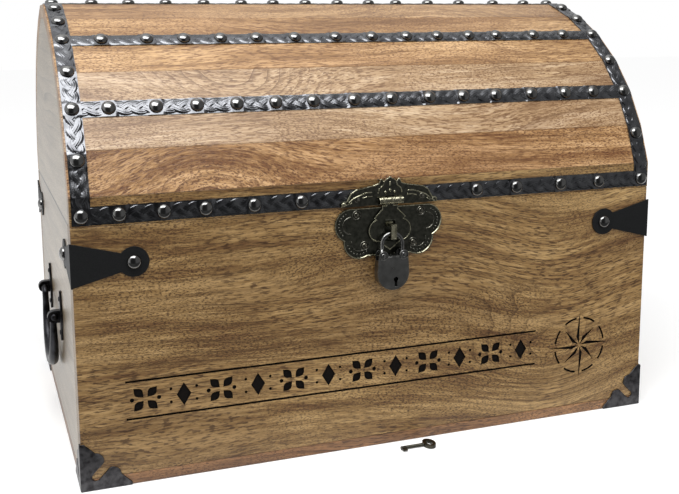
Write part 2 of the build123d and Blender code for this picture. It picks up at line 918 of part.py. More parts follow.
save("lid_latch_plate", lid_plate())
save("hasp_pin", hasp_pin())
save("hasp", hasp())
save("box_latch_plate", box_plate() - latch_staple)
save("latch_staple", latch_staple)

latch_nail_radius = 1.9
latch_nail_height = 0.7
lid_plate_nail_share = 0.68
lid_plate_nail_lift = 4.5
box_nail_wide = 22.5
box_nail_drop = 4.2
box_nail_narrow = 17.0
box_nail_low = 24.5


def latch_nail(x, y, z):
    face = Plane(origin=(x, y, z), x_dir=(1, 0, 0), z_dir=(0, -1, 0))
    return face * dome_nail(latch_nail_radius, latch_nail_height)


lid_nail = latch_nail(
    lid_plate_half * lid_plate_nail_share,
    lid_plate_face - latch_sheet,
    lid_plate_low + lid_plate_nail_lift,
)
save("lid_latch_nails", *both_sides(lid_nail))
box_plate_front = front_face - latch_sheet
box_nails = both_sides(latch_nail(box_nail_wide, box_plate_front, box_plate_top - box_nail_drop))
box_nails += both_sides(latch_nail(box_nail_narrow, box_plate_front, box_plate_top - box_nail_low))
save("box_latch_nails", *box_nails)

save("padlock_shackle", shackle())
save("padlock_front_plate", case_front())
save("padlock_back_plate", case_back())
save("padlock_side_band", case_band())
save("padlock_rivets", *case_rivets())
save("padlock_bolt", lock_bolt())

save("hinge_box_leaves", box_leaf(-hinge_place), box_leaf(hinge_place))
save("hinge_lid_leaves", lid_leaf(-hinge_place), lid_leaf(hinge_place))
save("hinge_pins", hinge_pin(-hinge_place), hinge_pin(hinge_place))
screw_reach = (hinge_leaf + leaf_gap) / 2
save("hinge_box_screws", *hinge_screws(hinge_axis_z - screw_reach))
save("hinge_lid_screws", *hinge_screws(hinge_axis_z + screw_reach))

save("top_corner_brackets", *four_corners(bracket()))
front_nail, side_nail = bracket_nail()
save("bracket_nails", *four_corners(front_nail), *four_corners(side_nail))
save("bottom_corner_protectors", *four_corners(guard()))

plates = [eye_plate(-handle_half), eye_plate(handle_half)]
left_bail = bail()
save("left_handle_plates", *plates)
save("right_handle_plates", *[mirror(plate, about=Plane.YZ) for plate in plates])
nails = handle_nails()
save("handle_nails", *nails, *[mirror(nail, about=Plane.YZ) for nail in nails])
save("left_handle_bail", left_bail)
save("right_handle_bail", mirror(left_bail, about=Plane.YZ))
save("key", key())
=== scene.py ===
import json

import bmesh
import bpy
import numpy as np
from mathutils import Matrix, Vector

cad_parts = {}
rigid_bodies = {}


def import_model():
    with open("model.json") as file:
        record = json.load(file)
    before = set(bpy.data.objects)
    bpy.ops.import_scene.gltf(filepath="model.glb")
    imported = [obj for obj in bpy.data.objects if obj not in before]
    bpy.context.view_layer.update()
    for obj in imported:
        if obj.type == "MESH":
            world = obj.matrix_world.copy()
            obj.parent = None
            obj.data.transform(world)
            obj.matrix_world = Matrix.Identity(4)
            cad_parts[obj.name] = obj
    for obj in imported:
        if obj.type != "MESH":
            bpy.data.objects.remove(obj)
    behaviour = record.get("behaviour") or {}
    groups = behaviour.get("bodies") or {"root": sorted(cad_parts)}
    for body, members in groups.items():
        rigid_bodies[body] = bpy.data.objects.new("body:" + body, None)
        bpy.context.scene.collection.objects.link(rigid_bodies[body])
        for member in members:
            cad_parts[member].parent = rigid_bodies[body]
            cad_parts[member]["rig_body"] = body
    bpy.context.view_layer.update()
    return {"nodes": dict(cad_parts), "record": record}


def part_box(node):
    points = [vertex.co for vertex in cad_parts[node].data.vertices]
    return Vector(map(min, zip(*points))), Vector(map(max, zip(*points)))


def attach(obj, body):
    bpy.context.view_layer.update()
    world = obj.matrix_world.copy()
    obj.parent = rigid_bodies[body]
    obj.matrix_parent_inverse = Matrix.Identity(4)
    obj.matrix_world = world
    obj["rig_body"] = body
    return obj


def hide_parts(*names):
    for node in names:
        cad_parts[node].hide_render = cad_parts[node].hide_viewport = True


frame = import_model()
mm = 0.001

# Front, back, end and bottom boards of the box.
# Solid mango wood, planed, sanded and wiped with a clear wax. The front and back
# boards run the full width and cover the ends of the side boards.


def place_of(node):
    """The low and high corners of a CAD node's box in mm, to a thousandth."""
    return np.round(np.array(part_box(node)) / mm, 3)


front_low, front_high = place_of("front_panel")
half_width, half_depth, body_height = front_high[0], -front_low[1], front_high[2]


def linear(code):
    """The linear RGBA of an sRGB hex colour: the sRGB curve undone, channel by channel."""
    srgb = np.array([int(code[i : i + 2], 16) for i in (1, 3, 5)]) / 255
    rgb = np.where(srgb <= 0.04045, srgb / 12.92, ((srgb + 0.055) / 1.055) ** 2.4)
    return (*rgb.tolist(), 1.0)


def add(tree, kind, *inputs, named=(), stops=(), **settings):
    """Adds a node with its settings. Inputs are set or linked in the order of its sockets,
    and those that are named by their names or numbers. Stops are the places and sRGB colours
    along a colour ramp."""
    node = tree.nodes.new("ShaderNode" + kind)
    for name, value in settings.items():
        setattr(node, name, value)
    if stops:
        elements = node.color_ramp.elements
        while len(elements) < len(stops):
            elements.new(0.5)
        for element, (place, code) in zip(elements, stops):
            element.position = place
            element.color = linear(code)
    for socket, value in {**dict(enumerate(inputs)), **dict(named)}.items():
        if isinstance(value, bpy.types.Node):
            value = value.outputs[0]
        if isinstance(value, bpy.types.NodeSocket):
            tree.links.new(value, node.inputs[socket])
        else:
            node.inputs[socket].default_value = value
    return node


def new_material(name):
    """An empty node material: its tree, and a function that closes it with a surface."""
    material = bpy.data.materials.new(name)
    material.use_nodes = True
    tree = material.node_tree
    tree.nodes.clear()

    def close(shader):
        add(tree, "OutputMaterial", shader)
        return material

    return tree, close


def mango_wood(name, pale, mid, dark, pore, roughness=0.38, seam=0.0):
    """Waxed mango wood: brown bands along the grain, growth lines that arch over the heart
    of the plank, and open pores, drawn about twice as wide as real ones so that they show.
    The wax is satin, so the wood pales at a low angle. A painted shadow darkens the seam
    between lid and box, as far as seam says."""
    tree, close = new_material(name)
    grain = add(tree, "Attribute", attribute_name="grain").outputs["Vector"]
    heart = add(tree, "Attribute", attribute_name="heart").outputs["Vector"]
    heart = add(tree, "SeparateXYZ", heart)
    apart = add(tree, "SeparateXYZ", grain)

    def patches(vector, to_mm, detail=2.0, rough=0.5):
        """Patches of the plank, as many to a millimetre as to_mm says, axis by axis."""
        place = add(tree, "Mapping", named={"Vector": vector, "Scale": to_mm}, vector_type="POINT")
        cloud = {"Vector": place, "Scale": 1.0, "Detail": detail, "Roughness": rough}
        return add(tree, "TexNoise", named=cloud)

    # the grain wanders by 7 mm over a hand's length, and arches over the heart
    wander = patches(grain, (0.0045, 0.013, 0.013), 1.0)
    shift = add(tree, "MapRange", wander, 0.3, 0.7, -7.0, 7.0)
    arch_reach, oval_reach, closing = 62.0, 30.0, 3.2
    offset = add(tree, "Math", apart.outputs["X"], heart.outputs["X"], operation="SUBTRACT")
    reach = add(tree, "Math", offset, 1 / arch_reach, operation="MULTIPLY")
    square = add(tree, "Math", reach, reach, operation="MULTIPLY")
    below = add(tree, "Math", square, -1.0, operation="MULTIPLY")
    bell = add(tree, "Math", below, operation="EXPONENT")
    arch = add(tree, "Math", bell, heart.outputs["Z"], shift, operation="MULTIPLY_ADD")
    # round the heart itself, 60 mm across, the growth lines close to ovals
    aside = add(tree, "Math", apart.outputs["Y"], heart.outputs["Y"], operation="SUBTRACT")
    aside = add(tree, "Math", aside, 1 / oval_reach, operation="MULTIPLY")
    around_heart = add(tree, "Math", aside, aside, square, operation="MULTIPLY_ADD")
    below = add(tree, "Math", around_heart, -1.0, operation="MULTIPLY")
    near = add(tree, "Math", below, operation="EXPONENT")
    oval = add(tree, "Math", near, heart.outputs["Z"], operation="MULTIPLY")
    closed = add(tree, "Math", oval, closing, operation="MULTIPLY")
    place = add(tree, "VectorMath", grain, add(tree, "CombineXYZ", 0.0, arch))
    # bands 10 mm across and 140 mm long, fibres 1 mm across and 17 mm long
    band = patches(place, (0.007, 0.1, 0.1), 3.0, 0.6)
    fibre = patches(place, (0.06, 1.0, 1.0), 4.0, 0.65)
    broad = add(tree, "Math", band, 0.5, operation="MULTIPLY")
    tone = add(tree, "Math", fibre, 0.5, broad, operation="MULTIPLY_ADD")
    colour = add(tree, "ValToRGB", tone, stops=[(0.39, dark), (0.49, mid), (0.6, pale)])
    # growth lines 9 mm apart, each a dark line that fades to one side, strong in places
    lines_to_mm, line_drift, line_edge = 0.11, 4.0, 5.5
    across = add(tree, "SeparateXYZ", place).outputs["Y"]
    across = add(tree, "Math", across, closed, operation="ADD")
    drift = patches(place, (0.004, 0.03, 0.03))
    drift = add(tree, "Math", drift, line_drift, operation="MULTIPLY")
    turns = add(tree, "Math", across, lines_to_mm, drift, operation="MULTIPLY_ADD")
    late = add(tree, "Math", turns, operation="FRACT")
    late = add(tree, "Math", late, line_edge, operation="POWER")
    where = patches(grain, (0.009, 0.02, 0.02), 1.0)
    where = add(tree, "MapRange", where, 0.44, 0.62, 0.04, 0.55)
    where = add(tree, "Math", near, 0.6, where, operation="MULTIPLY_ADD")
    lines = add(tree, "Math", late, where, operation="MULTIPLY")
    # the whole plank is darker in some places than in others, a hand's length apart
    cloud = patches(grain, (0.006, 0.018, 0.018))
    cloud = add(tree, "MapRange", cloud, 0.4, 0.62, 0.0, 0.34)
    # pores: dashes 1 mm by 6 mm, and where the plank is cut across its fibres, finer specks
    dashes = add(tree, "MapRange", patches(place, (0.17, 1.15, 1.15), 2.0, 0.6), 0.5, 0.6)
    specks = add(tree, "MapRange", patches(place, (0.5, 1.4, 1.4), 2.0, 0.6), 0.49, 0.59)
    swirl = add(tree, "MapRange", patches(grain, (0.011, 0.017, 0.017), 1.0), 0.42, 0.52)
    pores = add(tree, "Mix", swirl, named={2: dashes, 3: specks}, data_type="FLOAT")
    open_share = add(tree, "MapRange", band, 0.3, 0.65, 0.95, 0.72)
    faded = add(tree, "Math", pores, open_share, operation="MULTIPLY")
    layers = [(lines, dark, "MULTIPLY"), (cloud, mid, "MULTIPLY"), (faded, pore, "MIX")]
    if seam:
        # painted shadow in the seam between lid and box: only within 1.2 mm of it, and only on the outer
        # face
        spot = add(tree, "SeparateXYZ", add(tree, "TexCoord").outputs["Object"])
        from_seam = add(tree, "Math", spot.outputs["Z"], body_height * mm, operation="SUBTRACT")
        from_seam = add(tree, "Math", from_seam, operation="ABSOLUTE")
        near_seam = add(tree, "MapRange", from_seam, 0.0004, 0.0012, seam, 0.0)
        end = half_width * mm
        from_middle = add(tree, "Math", spot.outputs["X"], operation="ABSOLUTE")
        outer = add(tree, "MapRange", from_middle, end - 0.0015, end - 0.0003)
        dust_and_painted_shade = add(tree, "Math", outer, near_seam, operation="MULTIPLY")
        layers.append((dust_and_painted_shade, "#1c1610", "MIX"))
    for share, code, mode in layers:
        pair = {6: colour, 7: linear(code)}
        colour = add(tree, "Mix", share, named=pair, data_type="RGBA", blend_type=mode).outputs[2]
    bump = add(tree, "Bump", named={"Height": faded, "Strength": 0.3, "Distance": -0.0002})
    wax = {"Base Color": colour, "Roughness": roughness, "IOR": 1.55, "Normal": bump}
    return close(add(tree, "BsdfPrincipled", named=wax))


box_wood = mango_wood("waxed_mango_box", "#a88a5b", "#86693e", "#624526", "#38220f")
# end boards: their grey, pale tone is partly a painted reflection of the white room over the wood's own
# colour, and a painted shadow darkens their seam between lid and box
end_wood = mango_wood("waxed_mango_ends", "#a2937c", "#908169", "#7f7059", "#685945", 0.3, 0.85)
bottom_wood = mango_wood("waxed_mango_bottom", "#a0764e", "#83603f", "#65462d", "#40291a")


def finish_piece(piece, body, slot, *nodes):
    """Hands a finished piece to its body and hides the CAD nodes that it stands for; its slot is not used.
    """
    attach(piece, body)
    if nodes:
        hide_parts(*nodes)
    return piece


def set_grain(mesh, axes, drift, heart):
    """Each point's place in mm along, across and through the plank, and the plank's heart:
    its place along and across the plank, and the height of the arch over it."""
    places = np.zeros(len(mesh.vertices) * 3)
    mesh.vertices.foreach_get("co", places)
    places = places.reshape(-1, 3)[:, list(axes)] / mm + np.array(drift)
    middle = places[:, 1].min() / 2 + places[:, 1].max() / 2
    centre = (heart[0] + drift[0], heart[1] + middle, heart[2])
    hearts = np.tile(centre, (len(places), 1))
    for name, values in (("grain", places), ("heart", hearts)):
        if name in mesh.attributes:
            mesh.attributes.remove(mesh.attributes[name])
        field = mesh.attributes.new(name, "FLOAT_VECTOR", "POINT")
        field.data.foreach_set("vector", values.ravel())


def merged_shape(node):
    """The CAD node's own shape, its doubles merged and its flat faces whole."""
    shape = bmesh.new()
    shape.from_mesh(frame["nodes"][node].data)
    bmesh.ops.remove_doubles(shape, verts=shape.verts, dist=1e-6)
    bmesh.ops.dissolve_limit(shape, angle_limit=0.01, verts=shape.verts, edges=shape.edges)
    return shape


def worn_piece(node, name, shape, materials, edge):
    """A piece of a CAD node's shape, its edges worn to a radius in mm. A true edge bends by
    more than 32 degrees, and a round face by less from flat to flat."""
    least_bend = np.radians(32)
    mesh = bpy.data.meshes.new(name)
    shape.to_mesh(mesh)
    shape.free()
    for material in materials:
        mesh.materials.append(material)
    mesh.shade_smooth()
    mesh.set_sharp_from_angle(angle=least_bend)
    piece = bpy.data.objects.new(name, mesh)
    bpy.context.scene.collection.objects.link(piece)
    if edge:
        bevel = piece.modifiers.new("worn edge", "BEVEL")
        bevel.width = edge * mm
        bevel.segments = 2
        bevel.limit_method = "ANGLE"
        bevel.angle_limit = least_bend
        bevel.harden_normals = True
    return finish_piece(piece, frame["nodes"][node]["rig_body"], slot_of[node], node)


def from_solid(node, name, material, edge):
    """A CAD node's shape in one material, its edges worn to a radius in mm."""
    return worn_piece(node, name, merged_shape(node), [material], edge)


slot_of = {part["node"]: part["material_slot"] for part in frame["record"]["subparts"]}
along_x = (0, 2, 1)
along_y = (1, 2, 0)


def board(node, name, material, edge, axes, drift, heart=(0.0, 0.0, 0.0)):
    """A solid board. Its axes are those along, across and through the plank."""
    piece = from_solid(node, name, material, edge)
    set_grain(piece.data, axes, drift, heart)
    return piece


# each board is from another place in the log: its drift in mm along, across and through
front_drift = (340, 95, 0)
front_heart = (126.0, -34.0, 19.0)
front_board = board("front_panel", "front_board", box_wood, 0.7, along_x, front_drift, front_heart)
board("back_panel", "back_board", box_wood, 0.7, along_x, (900, 310, 0), (-60.0, 20.0, -22.0))
board("left_side_panel", "left_board", end_wood, 0.6, along_y, (1700, 40, 0))
board("right_side_panel", "right_board", end_wood, 0.6, along_y, (2300, 420, 0))
board("bottom_board", "bottom_board_worn", bottom_wood, 1.2, along_x, (3100, 60, 0))

# Burnt ornament on the front board.
# A running border and a compass star, cut nearly a millimetre deep with a hot tool, so
# that the cuts are black and their edges stand sharp in the wax.
burn_depth = 0.9
overrun = 1.0


def charred_wood():
    """Charred wood at the bottom of a shallow cut: black, matt and slightly brown."""
    tree, close = new_material("charred_mango")
    place = add(tree, "TexCoord").outputs["Object"]
    soot = add(tree, "TexNoise", named={"Vector": place, "Scale": 900.0, "Detail": 3.0})
    colour = add(tree, "ValToRGB", soot, stops=[(0.3, "#050403"), (0.7, "#120c08")])
    char = {"Base Color": colour, "Roughness": 0.85, "Specular IOR Level": 0.2}
    return close(add(tree, "BsdfPrincipled", named=char))


def around(centre, radii, turns):
    """Points about a centre, from their radii and turns."""
    return np.stack([centre[0] + radii * np.cos(turns), centre[1] + radii * np.sin(turns)], 1)


def leaf_outline(foot, length, width, turn):
    """A pointed leaf: its half width is the width times the sine of the share of its
    length, and the leaf is turned about its foot."""
    share = np.linspace(0, 1, 13)
    side = width * np.sin(np.pi * share) ** 1.2
    along = np.concatenate([share * length, share[-2:0:-1] * length])
    aside = np.concatenate([side, -side[-2:0:-1]])
    return around(foot, np.hypot(along, aside), turn + np.arctan2(aside, along))


def round_outline(centre, radius, sides=16):
    """Points of a circle, at even turns."""
    return around(centre, np.full(sides, radius), np.linspace(0, 2 * np.pi, sides, endpoint=False))


def border_outlines(left, right, middle, height, motifs):
    """Two rails, and between them a four-leaved flower and an upright lozenge in turn."""
    rail = 1.3
    leaf_start, leaf_length, leaf_width = 1.6, 8.6, 2.7
    flower_dot_reach, flower_dot = 8.2, 1.3
    lozenge_half, lozenge_rise = 4.6, 7.4
    dot_reach, dot_rise, dot = 8.0, 4.2, 0.9
    outlines = []
    for low in (middle - height / 2, middle + height / 2 - rail):
        high = low + rail
        outlines.append(np.array([(left, low), (right, low), (right, high), (left, high)]))
    pitch = (right - left) / motifs
    for number in range(motifs):
        x = left + pitch * (number + 0.5)
        if number % 2 == 0:
            for turn in np.pi / 4 + np.arange(4) * np.pi / 2:
                foot = (x + leaf_start * np.cos(turn), middle + leaf_start * np.sin(turn))
                outlines.append(leaf_outline(foot, leaf_length, leaf_width, turn))
            for side in (-1, 1):
                outlines.append(round_outline((x + side * flower_dot_reach, middle), flower_dot))
        else:
            tips = [(-lozenge_half, 0), (0, -lozenge_rise), (lozenge_half, 0), (0, lozenge_rise)]
            outlines.append(np.array(tips) + (x, middle))
            for side, rise in ((-1, dot_rise), (-1, -dot_rise), (1, dot_rise), (1, -dot_rise)):
                outlines.append(round_outline((x + side * dot_reach, middle + rise), dot))
    return outlines


def star_outlines(centre, long_point, short_point, waist):
    """An eight-pointed compass star: of each point only one half is burnt, which leaves
    the other half pale and makes the star look folded. Around it lie eight arcs."""
    heart, arc_inside, arc_outside = 0.9, 19.2, 20.6
    arc_turns = np.pi / 4 * np.linspace(0.18, 0.82, 9)
    outlines = []
    for number in range(8):
        turn = number * np.pi / 4
        tip = long_point if number % 2 == 0 else short_point
        turns = np.array([turn + np.pi / 16, turn, turn + np.pi / 8])
        outlines.append(around(centre, np.array([heart, tip, waist]), turns))
        turns = np.concatenate([turn + arc_turns, turn + arc_turns[::-1]])
        radii = np.repeat([arc_outside, arc_inside], len(arc_turns))
        outlines.append(around(centre, radii, turns))
    return outlines


def prism(outline, back, front):
    """Places and faces of a closed prism on an outline in X and Z, between two depths in Y."""
    count = len(outline)
    depths = np.repeat([back, front], count)
    points = np.insert(np.tile(outline, (2, 1)), 1, depths, axis=1)
    sides = np.arange(count)
    after = (sides + 1) % count
    walls = np.stack([sides, after, after + count, sides + count], 1).tolist()
    return points, walls + [sides[::-1].tolist(), (sides + count).tolist()]


def new_mesh(name, parts, material):
    """One mesh of several parts, each its places in mm and its faces: doubles merged, every
    face turned outwards."""
    points, faces = [], []
    first = 0
    for places, part_faces in parts:
        places = np.reshape(places, (-1, 3))
        points.append(places)
        faces += [[corner + first for corner in face] for face in part_faces]
        first += len(places)
    mesh = bpy.data.meshes.new(name)
    mesh.from_pydata((np.concatenate(points) * mm).tolist(), [], faces)
    shape = bmesh.new()
    shape.from_mesh(mesh)
    bmesh.ops.remove_doubles(shape, verts=shape.verts, dist=1e-7)
    bmesh.ops.recalc_face_normals(shape, faces=shape.faces)
    shape.to_mesh(mesh)
    shape.free()
    mesh.materials.append(material)
    return mesh


def carve(piece, outlines, depth, material):
    """Cuts the outlines into the front of a piece, and lines the cuts with a material."""
    parts = [prism(outline, depth - half_depth, -half_depth - overrun) for outline in outlines]
    cutter = bpy.data.objects.new("cutter", new_mesh("cutter", parts, material))
    bpy.context.scene.collection.objects.link(cutter)
    cut = piece.modifiers.new("burnt ornament", "BOOLEAN")
    cut.operation = "DIFFERENCE"
    cut.solver = "EXACT"
    cut.object = cutter
    cut.material_mode = "TRANSFER"
    depsgraph = bpy.context.evaluated_depsgraph_get()
    piece.data = bpy.data.meshes.new_from_object(piece.evaluated_get(depsgraph))
    piece.modifiers.clear()
    bpy.data.objects.remove(cutter)
    # the board's face stays flat between the cuts: large faces lead the shading
    piece.data.attributes.remove(piece.data.attributes["custom_normal"])
    piece.data.shade_smooth()
    piece.data.set_sharp_from_angle(angle=np.radians(50))
    flat = piece.modifiers.new("flat face", "WEIGHTED_NORMAL")
    flat.weight = 100
    flat.keep_sharp = True


# places in mm, from the middle of the chest's foot
ornament = border_outlines(left=-172.0, right=112.0, middle=53.5, height=25.0, motifs=12)
ornament += star_outlines((148.0, 51.0), long_point=25.0, short_point=17.0, waist=6.5)
carve(front_board, ornament, burn_depth, charred_wood())
set_grain(front_board.data, along_x, front_drift, front_heart)

# Staves, rails and end boards of the lid.
# Flat mango boards with mitred edges, glued side by side over two arched end boards.
# Each was cut from another plank, so tone and figure jump from one to the next.
golden = mango_wood("waxed_mango_golden", "#caa67b", "#a88459", "#81603c", "#603d20")
pale = mango_wood("waxed_mango_pale", "#c6ad8e", "#a98c69", "#886b4c", "#65462b")
brown = mango_wood("waxed_mango_brown", "#c09b70", "#987349", "#6f4a2a", "#4f2c15")
# each plank's wood, and its heart as set_grain takes it
lid_planks = {
    "front_rail": (box_wood, (0.0, 0.0, 0.0)),
    "stave_01": (brown, (-118.0, -12.0, -24.0)),
    "stave_02": (pale, (60.0, 30.0, 5.0)),
    "stave_03": (pale, (-95.0, 8.0, 22.0)),
    "stave_04": (golden, (90.0, 25.0, -8.0)),
    "stave_05": (golden, (-30.0, 20.0, 12.0)),
    "stave_06": (golden, (70.0, -10.0, -20.0)),
    "stave_07": (pale, (-60.0, 12.0, 18.0)),
    "stave_08": (brown, (20.0, 0.0, 22.0)),
    "stave_09": (golden, (110.0, 15.0, -18.0)),
    "stave_10": (pale, (-110.0, 0.0, 15.0)),
    "stave_11": (golden, (30.0, 5.0, -22.0)),
    "stave_12": (brown, (-40.0, 12.0, 20.0)),
    "stave_13": (pale, (90.0, 0.0, -18.0)),
    "back_rail": (golden, (0.0, 0.0, 0.0)),
}
along_x_lying = (0, 1, 2)
for number, (node, (material, heart)) in enumerate(lid_planks.items()):
    low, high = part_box(node)
    axes = along_x_lying if high[1] - low[1] > high[2] - low[2] else along_x
    drift = (5000 + 640 * number, 230 * number, 57 * number)
    board(node, node + "_planed", material, 0.35, axes, drift, heart)
board("left_lid_end", "left_lid_board", end_wood, 0.3, along_y, (15000, 90, 0))
board("right_lid_end", "right_lid_board", end_wood, 0.3, along_y, (16100, 700, 0))

# Metal strips and arched bands over the lid.
# Thin steel strip, embossed with a three-strand plait, blackened and lacquered. It is
# black where it mirrors the dark room and silver where it mirrors a lamp.
lid_rise = place_of("stave_07")[1][2] - body_height
# the lid's folded outline, from the front rim to the top: shares of its depth and height
outline_shares = np.array(
    [
        (0.0, 0.0),
        (0.0, 0.135),
        (0.077, 0.335),
        (0.182, 0.513),
        (0.322, 0.676),
        (0.503, 0.82),
        (0.694, 0.924),
        (0.901, 1.0),
    ]
)
front_half = outline_shares * (half_depth, lid_rise) + (-half_depth, body_height)
outline = np.concatenate([front_half, front_half[::-1] * (-1, 1)])
# for each corner, how far along it lies, and the mitre: how far the corner of a second
# outline moves when that one lies 1 mm outside the first
runs = np.diff(outline, axis=0)
lengths = np.hypot(*runs.T)
corners_along = np.concatenate([[0], np.cumsum(lengths)])
outward = np.stack([-runs[:, 1], runs[:, 0]], 1) / lengths[:, None]
doubled = np.concatenate([outward[:1], outward]) + np.concatenate([outward, outward[-1:]])
mitres = doubled * 2 / (doubled**2).sum(1)[:, None]
total_along = corners_along[-1]


def over_lid(x, along, height):
    """Places in mm, height above the wood, along the lid's folded outline: the outline's
    point plus height times the mitre direction, both straight between its corners."""
    y = np.interp(along, corners_along, outline[:, 0])
    z = np.interp(along, corners_along, outline[:, 1])
    y = y + height * np.interp(along, corners_along, mitres[:, 0])
    z = z + height * np.interp(along, corners_along, mitres[:, 1])
    return np.stack(np.broadcast_arrays(x, y, z), -1)


rim_low, rim_high = place_of("front_rim_strip")
strip_length = rim_high[0]
strip_width = rim_high[2] - rim_low[2]
strip_lift = rim_low[2] - body_height
strip_thickness = rim_high[1] - rim_low[1]
rim_centre = strip_lift + strip_width / 2
# each strip's middle line, by its place along the lid's outline
strip_places = {
    "front_rim_strip": rim_centre,
    "lower_front_strip": corners_along[3],
    "upper_front_strip": corners_along[5],
    "top_strip": total_along / 2,
    "upper_back_strip": total_along - corners_along[5],
    "lower_back_strip": total_along - corners_along[3],
    "back_rim_strips": total_along - rim_centre,
}


def plait(along, across):
    """Height in mm of the embossing: the highest of three strands that swing across the
    strip a third of a turn apart, each a grooved round bar that rises and dips twice a turn."""
    pitch, swing, half, ground = 26.0, 2.9, 2.05, 0.45
    round_rise, dip, groove, groove_pitch = 0.43, 0.2, 0.1, 1.3
    height = np.full(np.broadcast(along, across).shape, ground)
    for third in range(3):
        turn = 2 * np.pi * (along / pitch + third / 3)
        slope = swing * 2 * np.pi / pitch * np.cos(turn)
        aside = (across - swing * np.sin(turn)) / np.sqrt(1 + slope**2)
        round_bar = np.sqrt(np.clip(1 - (aside / half) ** 2, 0, 1))
        grooves = groove * np.cos(2 * np.pi * aside / groove_pitch) * (round_bar > 0)
        strand = ground + round_rise * round_bar + dip * np.sin(2 * turn) + grooves
        height = np.where(round_bar > 0, np.maximum(height, strand), height)
    return height


def bar_faces(rings, sides, closed=False, shut=(True, True)):
    """Faces of a bar of rings: closed to a hoop, or its two ends shut where asked."""
    ring = np.arange(rings if closed else rings - 1)[:, None]
    side = np.arange(sides)[None, :]
    after = (side + 1) % sides
    ahead = (ring + 1) % rings
    corners = [ring * sides + side, ring * sides + after, ahead * sides + after, ahead * sides + side]
    faces = np.stack(corners, -1).reshape(-1, 4).tolist()
    if shut[0] and not closed:
        faces.append(np.arange(sides)[::-1].tolist())
    if shut[1] and not closed:
        faces.append((np.arange(sides) + (rings - 1) * sides).tolist())
    return faces


def new_piece(name, parts, material, body, slot, *nodes, sharp=45.0):
    """A smooth piece of parts in mm, with edges kept sharp over an angle in degrees."""
    mesh = new_mesh(name, parts, material)
    mesh.shade_smooth()
    mesh.set_sharp_from_angle(angle=np.radians(sharp))
    piece = bpy.data.objects.new(name, mesh)
    bpy.context.scene.collection.objects.link(piece)
    return finish_piece(piece, body, slot, *nodes)


def clouded_metal(name, low, high, smooth, dull, scale):
    """A lacquered metal whose tone and gloss are clouded by its bath, in patches that are
    as many to a metre as scale says."""
    tree, close = new_material(name)
    place = add(tree, "TexCoord").outputs["Object"]
    cloud = add(tree, "TexNoise", named={"Vector": place, "Scale": scale, "Detail": 3.0})
    colour = add(tree, "ValToRGB", cloud, stops=[(0.3, low), (0.7, high)])
    rough = add(tree, "MapRange", cloud, 0.3, 0.7, smooth, dull)
    metal = {"Base Color": colour, "Metallic": 1.0, "Roughness": rough}
    return close(add(tree, "BsdfPrincipled", named=metal))


# blackened steel under clear lacquer, buffed to a soft polish
strip_steel = clouded_metal("blackened_strip_steel", "#545558", "#76777a", 0.18, 0.3, 180.0)
face = np.linspace(-strip_width / 2, strip_width / 2, 27)
across = np.concatenate([face[:1], face, face[-1:]])
raised = np.concatenate([[0.0], np.ones_like(face), [0.0]])


def pressed(height, along, nails):
    """The embossing is beaten flat under each nail: it fades to the strip's thickness."""
    flat_reach, fade = 4.0, 1.8
    gap = np.abs(along[:, None] - np.asarray(nails)[None, :]).min(1)
    keep = np.clip((gap - flat_reach) / fade, 0, 1)[:, None]
    return (strip_thickness + (height - strip_thickness) * keep) * raised


def strip_part(centre, start, end, nails):
    """A strip across the lid, from start to end in X. Each is cut from another place in the
    plait, three times as far along as the strip lies."""
    step, cut_from = 0.45, 3 * centre
    x = np.linspace(start, end, int((end - start) / step))
    height = pressed(plait(x[:, None] + cut_from, across[None, :]), x, nails)
    points = over_lid(x[:, None], centre + across[None, :], height)
    return points, bar_faces(*points.shape[:2])


upper_shares = [0.076, 0.148, 0.208, 0.269, 0.33, 0.397, 0.47]
upper_shares += [0.537, 0.602, 0.662, 0.724, 0.78, 0.857, 0.92]
lower_shares = [0.07, 0.141, 0.204, 0.267, 0.33, 0.393, 0.463]
lower_shares += [0.529, 0.598, 0.661, 0.723, 0.793, 0.861, 0.918]
top_shares = [0.083, 0.146, 0.211, 0.279, 0.348, 0.408, 0.47]
top_shares += [0.533, 0.596, 0.652, 0.719, 0.786, 0.861, 0.93]
# the nails' places, as shares of the chest's width from its left end
nail_shares = {
    "front_rim_strip": [0.071, 0.137, 0.2, 0.276, 0.352, 0.658, 0.733, 0.819, 0.896],
    "lower_front_strip": lower_shares,
    "upper_front_strip": upper_shares,
    "top_strip": top_shares,
    "upper_back_strip": upper_shares,
    "lower_back_strip": lower_shares,
    "back_rim_strips": [0.071, 0.35, 0.45, 0.55, 0.65, 0.929],
}
strip_nails = {
    node: 2 * half_width * (np.array(shares) - 0.5) for node, shares in nail_shares.items()
}
# on the back the rim strip is cut at the hinges, a millimetre clear of them, into three
hinge_x, hinge_clearance = 120.0, 1.0
outer_cut = place_of("hinge_box_leaves")[1][0] + hinge_clearance
inner_cut = 2 * hinge_x - outer_cut
whole = [(-strip_length, strip_length)]
cut_lengths = [(-strip_length, -outer_cut), (-inner_cut, inner_cut), (outer_cut, strip_length)]
for node, centre in strip_places.items():
    spans = cut_lengths if node == "back_rim_strips" else whole
    parts = [strip_part(centre, start, end, strip_nails[node]) for start, end in spans]
    new_piece(node + "_plaited", parts, strip_steel, "lid", "black_strip", node, sharp=70)

# the bands run over the ends of the staves, from rim to rim
band_centre = strip_length + strip_width / 2
band_rings = 960
band_cut_from = 40
nail_radius = 4.4
nail_height = 3.0


def nail_place(along):
    """A nail that comes nearer to a fold than its radius sits over the fold."""
    near = corners_along[np.abs(corners_along[:, None] - along).argmin(0)]
    return np.where(np.abs(near - along) < nail_radius, near, along)


